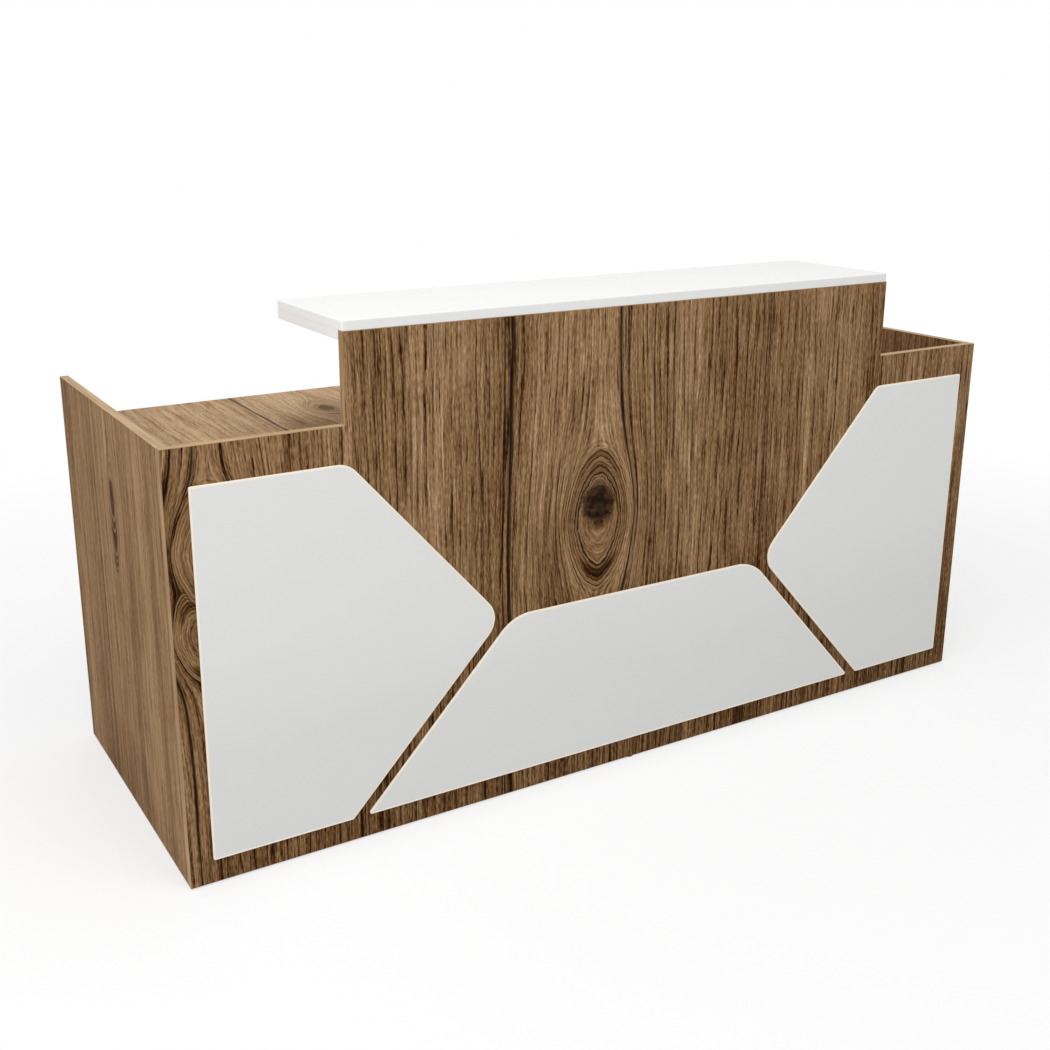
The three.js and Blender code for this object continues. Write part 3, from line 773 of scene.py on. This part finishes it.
def cap_triangles(flat_points, rim, up):
    """Triangles that fill a flat face between an outline and its holes, turned to face up or down."""
    index = np.concatenate(rim)
    outlines = [[Vector((*flat_points[k], 0.0)) for k in loop] for loop in rim]
    triangles = index[np.array(tessellate_polygon(outlines))]
    a, b, c = (flat_points[triangles[:, k]] for k in range(3))
    area = (b[:, 0] - a[:, 0]) * (c[:, 1] - a[:, 1]) - (b[:, 1] - a[:, 1]) * (c[:, 0] - a[:, 0])
    return np.where(((area > 0.0) == up)[:, None], triangles, triangles[:, ::-1])


def board_surface(loops, low, high, axes, low_ease, high_ease, border):
    """Points, faces, face finishes and edge map of a board.

    loops are outlines in two of the board's axes, the first one counter-clockwise and holes clockwise. A
    point of the grid is loop(i) + inset(j) times the inward step, at height low + height(j). Finish 0 is
    the faces, finish 1 the rim. An odd order of the axes mirrors the board, so its faces are turned back.
    """
    profile, stretch_finish = edge_profile(high - low, low_ease, high_ease, border)
    order = ["XYZ".index(letter) for letter in axes]
    points, faces, finish, corner_map, rims = [], [], [], [], ([], [])
    count, m = 0, len(profile)
    for loop in loops:
        i, j, quads = grid_faces(len(loop), m, "rows")
        grid = np.empty((len(loop), m, 3))
        grid[..., order[:2]] = loop[:, None, :] + profile[None, :, 0, None] * inward(loop)[:, None, :]
        grid[..., order[2]] = low + profile[:, 1]
        points.append(grid.reshape(-1, 3))
        faces.append(count + quads)
        finish.append(stretch_finish[j])
        corner_map.append(rim_map(loop, profile, i, j))
        for rim, ring in zip(rims, (0, m - 1)):
            rim.append(count + np.arange(len(loop)) * m + ring)
        count += len(loop) * m
    points = np.vstack(points)
    flat = points[:, order[:2]]
    caps = np.vstack([cap_triangles(flat, rim, up) for rim, up in zip(rims, (False, True))])
    turn = -1 if order in ([0, 2, 1], [2, 1, 0], [1, 0, 2]) else 1
    face_list = np.vstack(faces)[:, ::turn].tolist() + caps[:, ::turn].tolist()
    corners = np.vstack(corner_map)[:, ::turn].reshape(-1, 2), flat[caps][:, ::turn].reshape(-1, 2)
    return points, face_list, np.concatenate([*finish, np.zeros(len(caps), int)]), np.concatenate(corners)


print("board surface ready")

# %% [markdown]
# ## Boards in place of construction nodes
#
# Most boards are plain boxes in the construction model. So a board's outline is taken from its node's box,
# with a small ease at the corners, unless a cell draws another outline for it.

# %% Boards from nodes
CORNER_EASE = 0.0015
BOARD_EASE = 0.0012


def rectangle(node, axes):
    """The outline of a node's box in two axes, with eased corners, and its limits along the third."""
    low, high = limits(node)
    a, b, c = ("XYZ".index(letter) for letter in axes)
    corners = [(low[a], low[b]), (high[a], low[b]), (high[a], high[b]), (low[a], high[b])]
    return rounded([(*spot, CORNER_EASE) for spot in corners]), low[c], high[c]


def board(node, axes, finishes, slot, loops=None, low_ease=BOARD_EASE, high_ease=BOARD_EASE, border=0.0):
    """An eased board in place of a construction node, from its box or from outlines in the same axes."""
    outline, low, high = rectangle(node, axes)
    surface = board_surface(loops or [outline], low, high, axes, low_ease, high_ease, border)
    points, faces, finish, corner_map = surface
    return put("fine_" + node, points, faces, finishes, body_of_node(node), slot, [node], finish, corner_map)


print("eases of", CORNER_EASE, "and", BOARD_EASE, "m")

# %% [markdown]
# ## Front board and end panels
#
# The front is one T-shaped board: its grain runs on from the low shoulders into the raised part. The end
# panels stand behind it, so its own edge shows as a narrow strip at the corner. The outline of the T follows
# from the boxes of the front, an end panel and the counter.

# %% Front and ends
TEE_STEPS = 4
front_low, front_high = limits("front_board")
shoulder = limits("end_panel_left")[1][2]
raised_left, raised_right = (corner[0] for corner in limits("counter_top"))
tee = [
    (front_low[0], front_low[2]),
    (front_high[0], front_low[2]),
    (front_high[0], shoulder),
    (raised_right, shoulder),
    (raised_right, front_high[2]),
    (raised_left, front_high[2]),
    (raised_left, shoulder),
    (front_low[0], shoulder),
]
front_loop = rounded([(*spot, CORNER_EASE) for spot in tee], TEE_STEPS)
board("front_board", "XZY", [front_decor, band], "rustic_board", [front_loop])
for side, decor in (("left", end_decor), ("right", far_end_shaded_decor)):
    board(f"end_panel_{side}", "YZX", [decor, band], "rustic_board")
print("front", np.round(front_high - front_low, 3), "m")

# %% [markdown]
# ## Work top
#
# The work top lies between the front and the end panels, with a round hole for the cable grommet. A boolean
# could cut the hole, but its rim would stay sharp. As a second loop of the board, a circle that runs
# clockwise, it gets the same eased edge as the outline.

# %% Work top
GROMMET_HOLE = 0.030                        # radius
HOLE_POINTS = 64
WORK_TOP_EASE = 0.001


def circle(centre, radius, count):
    """A round loop, clockwise: centre + radius times (cos, -sin) of equal turns."""
    turn = np.linspace(0.0, 2.0 * math.pi, count, endpoint=False)
    return np.array(centre) + radius * np.column_stack([np.cos(turn), -np.sin(turn)])


ring_low, ring_high = limits("grommet_ring")
grommet_middle = 0.5 * (ring_low + ring_high)[:2]
work_top_loops = [rectangle("work_top", "XYZ")[0], circle(grommet_middle, GROMMET_HOLE, HOLE_POINTS)]
board("work_top", "XYZ", [top_decor, band], "rustic_board", work_top_loops, WORK_TOP_EASE, WORK_TOP_EASE)
print("grommet hole at", np.round(grommet_middle, 3))

# %% [markdown]
# ## White panels in relief
#
# Three white panels are planted on the front. The outer two are five-sided with a rounded point and a
# rounded head, the middle one is a low trapezium, and slanted grooves of one width run between them. Their
# outlines are drawn with arcs. Their front edges and a narrow border beside them get a brighter, creamier
# white, a painted highlight that draws a soft light line along every edge.

# %% Relief panels
RELIEF_ROUND = 0.0012
RELIEF_BACK_EASE = 0.0003
RELIEF_HIGHLIGHT_BORDER = 0.0018                      # of painted highlight beside the rounding
RELIEF_STEPS = 16
SIDE_SIZES = {                              # head width, foot width, reach of the point, radius at the head
    "left": (0.296, 0.282, 0.620, 0.050),
    "right": (0.278, 0.277, 0.605, 0.025),
}
POINT_HEIGHT = 0.4055                       # of the side panels' points above the floor
POINT_RADIUS = 0.050
MIDDLE_RADIUS = 0.100
SHARP = 0.004
GROOVE = 0.022


def outer_edge(side):
    """The X of a side panel's outer edge, and the direction from there to the middle."""
    low, high = limits(f"relief_panel_{side}")
    return (low[0], 1.0) if side == "left" else (high[0], -1.0)


def side_relief(side):
    """A side panel's five corners, counter-clockwise. Its rounded point stops short of its corner."""
    low, high = limits(f"relief_panel_{side}")
    head, foot, reach, head_radius = SIDE_SIZES[side]
    outer, inwards = outer_edge(side)
    corners = [
        (outer, low[2], SHARP),
        (outer + inwards * foot, low[2], SHARP),
        (outer + inwards * reach, POINT_HEIGHT, POINT_RADIUS),
        (outer + inwards * head, high[2], head_radius),
        (outer, high[2], SHARP),
    ]
    return corners if side == "left" else corners[::-1]


def middle_relief():
    """The trapezium between the side panels: its slants run parallel to theirs, one groove away."""
    low, high = limits("relief_panel_middle")
    ends = {}
    for side, (_, foot, reach, _) in SIDE_SIZES.items():
        outer, inwards = outer_edge(side)
        slant = (reach - foot) / (POINT_HEIGHT - low[2])
        foot_x = outer + inwards * (foot + GROOVE * math.hypot(1.0, slant))
        ends[side] = foot_x, foot_x + inwards * slant * (high[2] - low[2])
    return [
        (ends["left"][0], low[2], SHARP),
        (ends["right"][0], low[2], SHARP),
        (ends["right"][1], high[2], MIDDLE_RADIUS),
        (ends["left"][1], high[2], MIDDLE_RADIUS),
    ]


relief_corners = {"left": side_relief("left"), "middle": middle_relief(), "right": side_relief("right")}
for name, corners in relief_corners.items():
    board(f"relief_panel_{name}", "XZY", [relief_lacquer, relief_edge_highlight], "white_relief",
          [rounded(corners, RELIEF_STEPS)], RELIEF_ROUND, RELIEF_BACK_EASE, RELIEF_HIGHLIGHT_BORDER)
print("relief panels:", ", ".join(relief_corners))

# %% [markdown]
# ## Counter
#
# The white counter is two board layers. The upper one runs out over the front board's top edge, and the
# lower one lies behind that board, so the end shows twice the thickness that the front edge shows. Two
# uprights carry it. The rim is one in the mesh, so the faces that look along X are picked out by their
# normals and get a whiter copy of the laminate, painted light, while the long edges keep a greyer copy,
# painted shade.

# %% Counter
COUNTER_CORNER = 0.006
BUTT_CORNER = 0.001                         # of the lower layer, against the front board
JOINT_EASE = 0.0002                         # where the two layers lie on each other
COUNTER_EASE = 0.0015


def counter_layer(node, front_corner, low_ease, high_ease):
    """One layer: its box from above, a radius at the two front corners, painted shade and light on its rim.
    """
    low, high = limits(node)
    front = [(low[0], low[1], front_corner), (high[0], low[1], front_corner)]
    back = [(high[0], high[1], COUNTER_CORNER), (low[0], high[1], COUNTER_CORNER)]
    finishes = [counter_laminate, counter_shaded_edges, counter_lit_ends]
    piece = board(node, "XYZ", finishes, "white_counter", [rounded(front + back)], low_ease, high_ease)
    polygons = piece.data.polygons
    number = np.empty(len(polygons), np.int32)
    normal = np.empty((len(polygons), 3), np.float32)
    polygons.foreach_get("material_index", number)
    polygons.foreach_get("normal", normal.reshape(-1))
    # the end faces get the whiter copy, painted light; the long edges keep the greyer copy, painted shade
    lit_end = (number == 1) & (np.abs(normal[:, 0]) > np.abs(normal[:, 1]))
    polygons.foreach_set("material_index", np.where(lit_end, 2, number).astype(np.int32))


counter_layer("counter_top", COUNTER_CORNER, JOINT_EASE, COUNTER_EASE)
counter_layer("counter_under_layer", BUTT_CORNER, COUNTER_EASE, JOINT_EASE)
for side in ("left", "right"):
    board(f"counter_upright_{side}", "YZX", [end_decor, band], "rustic_board")
print("counter", np.round(np.subtract(*limits("counter_top")[::-1]), 3), "m")

# %% [markdown]
# ## Pedestal and drawers
#
# Carcass boards and drawer fronts have the same decor. The drawer boxes are thinner coated board, pale
# inside, with a hardboard bottom in a groove. A drawer side is the same all along its length, so its outline
# is the section with the groove, and the board helper carries it from back to front. Each drawer's pieces
# ride on that drawer's own body, so they slide out with it.

# %% Pedestal and drawers
DRAWERS = ("bottom", "middle", "top")
HAIRLINE = 0.0003                           # between two pieces that fit together
SECTION_CORNER = 0.0010
SECTION_STEPS = 4
GROOVE_CORNER = 0.0002
BOTTOM_EASE = 0.0004


def grooved_section(side_node, bottom_node, inwards):
    """A drawer side's section in X and Z: its box, with a groove that leaves a hairline round the bottom."""
    low, high = limits(side_node)
    bottom_low, bottom_high = limits(bottom_node)
    inner, outer = (high[0], low[0]) if inwards > 0.0 else (low[0], high[0])
    groove_end = (bottom_low[0] if inwards > 0.0 else bottom_high[0]) - inwards * HAIRLINE
    groove_low, groove_high = bottom_low[2] - HAIRLINE, bottom_high[2] + HAIRLINE
    corners = [
        (outer, low[2], SECTION_CORNER),
        (inner, low[2], SECTION_CORNER),
        (inner, groove_low, GROOVE_CORNER),
        (groove_end, groove_low, GROOVE_CORNER),
        (groove_end, groove_high, GROOVE_CORNER),
        (inner, groove_high, GROOVE_CORNER),
        (inner, high[2], SECTION_CORNER),
        (outer, high[2], SECTION_CORNER),
    ]
    return rounded(corners if inwards > 0.0 else corners[::-1], SECTION_STEPS)


board("pedestal_side", "YZX", [end_decor, band], "rustic_board")
board("pedestal_floor", "XYZ", [top_decor, band], "rustic_board")
board("pedestal_plinth", "XZY", [front_decor, band], "rustic_board")
lining = [drawer_lining, drawer_lining]
for name in DRAWERS:
    board(f"drawer_{name}_front", "XZY", [front_decor, band], "rustic_board")
    for side, inwards in (("left", 1.0), ("right", -1.0)):
        node = f"drawer_{name}_side_{side}"
        section = grooved_section(node, f"drawer_{name}_bottom", inwards)
        board(node, "XZY", lining, "drawer_board", [section], SECTION_CORNER, SECTION_CORNER)
    board(f"drawer_{name}_back", "XZY", lining, "drawer_board")
    board(f"drawer_{name}_bottom", "XYZ", lining, "drawer_board", None, BOTTOM_EASE, BOTTOM_EASE)
print("drawers:", ", ".join(DRAWERS))

# %% [markdown]
# ## Drawer pulls
#
# A pull is one steel rod bent twice. A curve with a bevel depth would give it, but as a surface it is short
# too: a circle carried along a path, out from the drawer front, round a quarter circle, along, and back. The
# path is flat, so the circle's plane is spanned by the path's own normal and by Z.

# %% Drawer pulls
ROD_SIDES = 20
PULL_BEND = 0.014
BEND_POINTS = 12


def bent_path(half_span, reach, bend):
    """Points of a staple: two straight legs and a straight grip, joined by quarter circles."""
    turn = np.linspace(0.0, 0.5 * math.pi, BEND_POINTS)
    left = np.column_stack([-half_span + bend - bend * np.cos(turn), reach - bend + bend * np.sin(turn)])
    right = left[::-1] * (-1.0, 1.0)
    return np.vstack([[-half_span, 0.0], left, right, [half_span, 0.0]])


def rod_surface(path, centre, radius):
    """Rings round a flat path, closed by discs.

    A ring's point is the path's point + radius times (cos a times the path's normal + sin a times Z).
    """
    tangent = np.gradient(path, axis=0)
    tangent /= np.linalg.norm(tangent, axis=1)[:, None]
    tangent[0], tangent[-1] = (0.0, 1.0), (0.0, -1.0)
    angle = np.linspace(0.0, 2.0 * math.pi, ROD_SIDES, endpoint=False)
    normal = np.column_stack([-tangent[:, 1], tangent[:, 0]])
    flat = path[:, None, :] + radius * np.cos(angle)[None, :, None] * normal[:, None, :]
    n, m = flat.shape[:2]
    rise = np.broadcast_to(radius * np.sin(angle), (n, m))
    points = np.concatenate([flat, rise[..., None]], axis=-1) + np.asarray(centre)
    quads = grid_faces(n, m, "columns")[2].tolist()
    ends = [list(range(m)), list(range((n - 1) * m, n * m))[::-1]]
    return points.reshape(-1, 3), quads + ends


for name in DRAWERS:
    node = f"drawer_{name}_pull"
    low, high = limits(node)
    radius = 0.5 * (high[2] - low[2])
    middle = (0.5 * (low[0] + high[0]), low[1], 0.5 * (low[2] + high[2]))
    half_span = 0.5 * (high[0] - low[0]) - radius
    path = bent_path(half_span, high[1] - low[1] - radius, PULL_BEND)
    points, faces = rod_surface(path, middle, radius)
    put("fine_" + node, points, faces, [steel], f"drawer_{name}", "brushed_steel", [node])
print("pull span", round(2.0 * half_span, 4), "m")

# %% [markdown]
# ## Feet
#
# The screw feet are round glides on a threaded stud. They are turned parts, so their surface is a profile of
# radius and height carried round a vertical axis, as on a lathe. The profile starts and ends on the axis,
# where each ring shrinks to a point, so the points that coincide are welded.

# %% Feet
FOOT_EDGE = 0.0006
FOOT_CHAMFER = 0.0002                       # rise of the first step up from the floor
STUD_RADIUS = 0.003
FOOT_SIDES = 40


def turned(profile, centre, count):
    """A profile of (radius, height) turned about the vertical through centre, with count points in a ring."""
    angle = np.linspace(0.0, 2.0 * math.pi, count, endpoint=False)
    radius, height = profile[:, 0, None], profile[:, 1, None]
    x = centre[0] + radius * np.cos(angle)
    y = centre[1] + radius * np.sin(angle)
    grid = np.stack([x, y, np.broadcast_to(height, x.shape)], axis=-1)
    quads = grid_faces(len(profile), count, "columns")[2]
    return grid.reshape(-1, 3), quads[:, [0, 3, 2, 1]].tolist()


def merge_close(piece, distance=1e-6):
    """Welds points that coincide, such as a turned surface's poles and its closing ring."""
    work = bmesh.new()
    work.from_mesh(piece.data)
    bmesh.ops.remove_doubles(work, verts=work.verts, dist=distance)
    bmesh.ops.recalc_face_normals(work, faces=work.faces)
    work.to_mesh(piece.data)
    work.free()


feet = [name for name in frame["nodes"] if name.startswith("foot_")]
for node in feet:
    low, high = limits(node)
    radius = 0.5 * (high[0] - low[0])
    base = front_low[2] - HAIRLINE
    profile = np.array([
        (0.0, 0.0),
        (radius - 2.0 * FOOT_EDGE, 0.0),
        (radius - FOOT_EDGE, FOOT_CHAMFER),
        (radius, FOOT_EDGE),
        (radius, base - FOOT_EDGE),
        (radius - FOOT_EDGE, base),
        (STUD_RADIUS, base),
        (STUD_RADIUS, high[2]),
        (0.0, high[2]),
    ])
    points, faces = turned(profile, 0.5 * (low + high)[:2], FOOT_SIDES)
    piece = put("fine_" + node, points, faces, [plastic], node, "black_plastic", [node])
    merge_close(piece)
print("feet under the boards:", len(feet))

# %% [markdown]
# ## Grommet
#
# The grommet lines the cable hole. Its ring is turned too: a wall in the hole, a soft flange on the work top
# and a ledge inside, drawn as one closed outline with rounded corners. Its cap has a slot for the cables, so
# it can't be turned. It is made as a very small board instead: a circle with a slot let in.

# %% Grommet
RING_WALL = 0.002
FLANGE_ROUND = 0.0011
LEDGE = 0.0022                              # inward step that the cap rests on
LEDGE_HEIGHT = 0.002
ROOT = 0.0002                               # radii of the ring's other corners
CRISP = 0.0003
SOFT = 0.0004
BLUNT = 0.0005
RING_STEPS = 5
RING_SIDES = 72
SLOT_WIDTH = 0.016
SLOT_DEPTH = 0.014
SLOT_CORNER = 0.003
SLOT_STEPS = 7
CAP_EASE = 0.0005
cap_low, cap_high = limits("grommet_cap")
flange_foot = limits("work_top")[1][2] + HAIRLINE

ring_radius = GROMMET_HOLE - HAIRLINE
bore = ring_radius - RING_WALL
flange = 0.5 * (ring_high[0] - ring_low[0])
ledge_top = cap_low[2] - HAIRLINE
ring_outline = rounded([
    (bore, ring_low[2], CRISP),
    (ring_radius, ring_low[2], BLUNT),
    (ring_radius, flange_foot, ROOT),
    (flange, flange_foot, CRISP),
    (flange, ring_high[2], FLANGE_ROUND),
    (bore, ring_high[2], SOFT),
    (bore, ledge_top, ROOT),
    (bore - LEDGE, ledge_top, CRISP),
    (bore - LEDGE, ledge_top - LEDGE_HEIGHT, CRISP),
    (bore, ledge_top - LEDGE_HEIGHT, ROOT),
], RING_STEPS)
points, faces = turned(np.vstack([ring_outline, ring_outline[:1]]), grommet_middle, RING_SIDES)
ring = put("fine_grommet_ring", points, faces, [plastic], "desk", "black_plastic", ["grommet_ring"])
merge_close(ring)


def slotted_circle(centre, radius):
    """A circle with a slot let in from its -Y side: the rim's arc, then the slot's rounded inner corners."""
    half = 0.5 * SLOT_WIDTH
    gap = math.asin(half / radius)
    turn = np.linspace(-0.5 * math.pi + gap, 1.5 * math.pi - gap, RING_SIDES)
    quarter = np.linspace(0.5 * math.pi, 0.0, SLOT_STEPS)
    inner = SLOT_DEPTH - radius - SLOT_CORNER
    corner = SLOT_CORNER * np.column_stack([np.cos(quarter), np.sin(quarter)])
    right = corner + (half - SLOT_CORNER, inner)
    left = right[::-1] * (-1.0, 1.0)
    rim = radius * np.column_stack([np.cos(turn), np.sin(turn)])
    return np.array(centre) + np.vstack([rim, left, right])


cap_outline = slotted_circle(grommet_middle, 0.5 * (cap_high[0] - cap_low[0]))
board("grommet_cap", "XYZ", [plastic, plastic], "black_plastic", [cap_outline], CAP_EASE, CAP_EASE)
print("grommet flange", round(2.0 * flange, 4), "m across")

# %% [markdown]
# ## Screws
#
# Pan-head screws hold the angle brackets, and two more behind each drawer front hold its pull. A head could
# be cut from a sphere with booleans. As a surface over radius and angle it is one formula: a dome that falls
# steeply at its rim, less a cross-shaped recess. It stands on any face, along that face's outward
# direction.

# %% Screw heads
HEAD_RADIUS = 0.0042
HEAD_HEIGHT = 0.0024
HEAD_RINGS = 14
HEAD_SIDES = 40
RECESS_DEPTH = 0.0013
RECESS_REACH = 0.0024
RECESS_HALF = 0.0007


def recess_arm(across, along):
    """1 inside one arm of the cross, falling to 0 at its sides and ends."""
    inside = np.clip(2.0 - 2.0 * np.abs(across) / RECESS_HALF, 0.0, 1.0)
    return inside * np.clip(2.0 - 2.0 * np.abs(along) / RECESS_REACH, 0.0, 1.0)


def screw_heads(places):
    """Heads at places, a list of (point, outward direction).

    Over radius r and angle the height is H times the root of 1 - (r / R) to the fourth, less the recess's
    depth where either arm of the cross lies. A last ring in the middle of the base closes it.
    """
    angle = np.linspace(0.0, 2.0 * math.pi, HEAD_SIDES, endpoint=False)
    radius = HEAD_RADIUS * np.sin(np.linspace(0.0, 0.5 * math.pi, HEAD_RINGS))[:, None]
    x, y = radius * np.cos(angle), radius * np.sin(angle)
    cross = np.maximum(recess_arm(x, y), recess_arm(y, x))
    dome = HEAD_HEIGHT * np.sqrt(np.clip(1.0 - (radius / HEAD_RADIUS) ** 4, 0.0, 1.0))
    base = np.zeros((1, HEAD_SIDES))
    x, y, height = (np.vstack([part, base])[..., None] for part in (x, y, dome - RECESS_DEPTH * cross))
    quads = grid_faces(HEAD_RINGS + 1, HEAD_SIDES, "columns")[2]
    points, faces = [], []
    for count, (point, out) in enumerate(places):
        out = np.array(out, float)
        first = np.array((0.0, 0.0, 1.0) if out[2] == 0.0 else (1.0, 0.0, 0.0))
        head = np.array(point) + x * first + y * np.cross(out, first) + height * out
        points.append(head.reshape(-1, 3))
        faces.append(quads + count * x.size)
    return np.vstack(points), np.vstack(faces).tolist()


print("screw head", HEAD_RADIUS * 2000.0, "mm across")

# %% Screws in place
BRACKET_GAUGE = 0.0025
HOLE_REACH = 0.034                          # from the bracket's corner
HOLE_SPREAD = 0.010                         # to each side of its middle
BRACKET_WALLS = {                           # axis across the wall, and the side that the bracket stands on
    "bracket_left": (0, 1.0),
    "bracket_pedestal": (0, -1.0),
    "bracket_front": (1, 1.0),
}
down = np.array((0.0, 0.0, -1.0))
brackets = [name for name in frame["nodes"] if name.startswith("bracket_")]
for node in brackets:
    low, high = limits(node)
    axis, side = BRACKET_WALLS[node.rsplit("_", 1)[0]]
    corner = np.where(np.arange(3) == axis, low if side > 0.0 else high, 0.5 * (low + high))
    corner[2] = high[2]
    out, along = np.eye(3)[axis] * side, np.eye(3)[1 - axis]
    places = []
    for spread in (-HOLE_SPREAD, HOLE_SPREAD):
        places.append((corner + out * BRACKET_GAUGE + down * HOLE_REACH + along * spread, out))
        places.append((corner + out * HOLE_REACH + down * BRACKET_GAUGE + along * spread, down))
    screws = put(f"{node}_screws", *screw_heads(places), [zinc], "desk", "zinc_steel")
    merge_close(screws)
for name in DRAWERS:
    low, high = limits(f"drawer_{name}_pull")
    back = limits(f"drawer_{name}_front")[0][1]
    rod = 0.5 * (high[2] - low[2])
    places = [((x, back, low[2] + rod), (0.0, -1.0, 0.0)) for x in (low[0] + rod, high[0] - rod)]
    screws = put(f"drawer_{name}_pull_screws", *screw_heads(places), [zinc], f"drawer_{name}", "zinc_steel")
    merge_close(screws)
print("brackets with screws:", len(brackets))

# %% [markdown]
# ## Steel parts that keep their construction shape
#
# The brackets and runners are folded from thin sheet, and the construction model holds their folds, lips and
# holes already. A finer copy would show nothing new, so they stay and only get the zinc finish.

# %% Brackets and runners
for name, shown in frame["nodes"].items():
    if name.startswith(("bracket_", "runner_")) or "_channel_" in name:
        shown.data.materials.clear()
        shown.data.materials.append(zinc)
print("zinc-plated parts dressed")

# %% [markdown]
# ## Floor and sky
#
# The picture's background is white, so the floor and the sky are shown white to the camera and in
# reflections, while the light that they give stays plain. A floor that is only white would let the desk
# float. So near the desk the floor mixes that white with its real shading, and the desk keeps a soft shadow.

# %% Floor and sky
FLOOR_HALF = 30.0
WHITE_NEAR = 0.60                           # share of plain white in what is seen of the floor by the desk
WHITE_FROM = 1.5                            # metres from the desk's middle where that share starts to grow
WHITE_ALL = 3.2                             # metres where it is whole
SKY_LEVEL = 0.58
FLOOR_GREY = 0.74                           # what the floor gives back to the desk
FLOOR_SHOWN = 0.92                          # and what is seen of it


def seen_directly(shade):
    """1 for rays from the camera, from a reflection or through glass, else 0."""
    rays = shade.node("ShaderNodeLightPath")
    seen = shade.math("MAXIMUM", shade.out(rays, "Is Camera Ray"), shade.out(rays, "Is Glossy Ray"))
    return shade.math("MAXIMUM", seen, shade.out(rays, "Is Transmission Ray"))


def floor_material():
    """Pale diffuse floor; what is seen directly is mixed with plain white, more of it further out."""
    shade = Shade(bpy.data.materials.new("pale_floor"))
    shade.tree.nodes.remove(shade.tree.nodes["Principled BSDF"])
    seen = seen_directly(shade)
    diffuse = shade.node("ShaderNodeBsdfDiffuse", [seen * (FLOOR_SHOWN - FLOOR_GREY) + FLOOR_GREY])
    away = shade.out(shade.node("ShaderNodeVectorMath", [shade.point()], operation="LENGTH"), "Value")
    share = seen * shade.step(away, WHITE_FROM, WHITE_ALL, WHITE_NEAR, 1.0)
    white = shade.node("ShaderNodeEmission")
    mixed = shade.node("ShaderNodeMixShader", [share, shade.out(diffuse), shade.out(white)])
    shade.feed(shade.tree.nodes["Material Output"].inputs["Surface"], shade.out(mixed))
    return shade.owner


floor_mesh = bpy.data.meshes.new("floor")
floor_corners = [(x * FLOOR_HALF, y * FLOOR_HALF, 0.0) for x, y in ((-1, -1), (1, -1), (1, 1), (-1, 1))]
floor_mesh.from_pydata(floor_corners, [], [(0, 1, 2, 3)])
floor_mesh.materials.append(floor_material())
floor = bpy.data.objects.new("floor", floor_mesh)
bpy.context.scene.collection.objects.link(floor)

sky = Shade(bpy.data.worlds.new("even_sky"))
bpy.context.scene.world = sky.owner
background = sky.tree.nodes["Background"].inputs
background["Color"].default_value = (1.0, 1.0, 1.0, 1.0)
sky.feed(background["Strength"], seen_directly(sky) * (1.0 - SKY_LEVEL) + SKY_LEVEL)
print("floor", 2.0 * FLOOR_HALF, "m wide, sky at", SKY_LEVEL)

# %% [markdown]
# ## Lights
#
# A large soft light hangs above the visitor's side, as in a studio, with a smaller one at the left and a low
# one that reaches the staff's side. A sun would draw hard shadows, so all three are wide rectangles.

# %% Lights
DESK_MIDDLE = (0.0, 0.0, 0.6)
LEFT_OF_MIDDLE = (-0.6, 0.0, 0.6)


def soft_light(name, place, towards, width, height, power):
    """A rectangular studio light at a place, turned to face a point: sides in metres, power in watts."""
    light = bpy.data.objects.new(name, bpy.data.lights.new(name, "AREA"))
    light.data.shape = "RECTANGLE"
    light.data.size = width
    light.data.size_y = height
    light.data.energy = power
    light.location = place
    light.rotation_euler = (Vector(towards) - Vector(place)).to_track_quat("-Z", "Y").to_euler()
    bpy.context.scene.collection.objects.link(light)
    return light


soft_light("high_light", (-0.6, -2.0, 3.8), DESK_MIDDLE, 3.4, 2.4, 76.0)
rear_light = soft_light("rear_light", (0.6, 4.8, 1.3), DESK_MIDDLE, 3.0, 1.6, 60.0)
rear_light.visible_glossy = False           # it would only haze the work top
soft_light("left_light", (-3.8, -1.2, 2.0), LEFT_OF_MIDDLE, 2.0, 2.0, 36.0)
bpy.context.scene.view_settings.view_transform = "Standard"
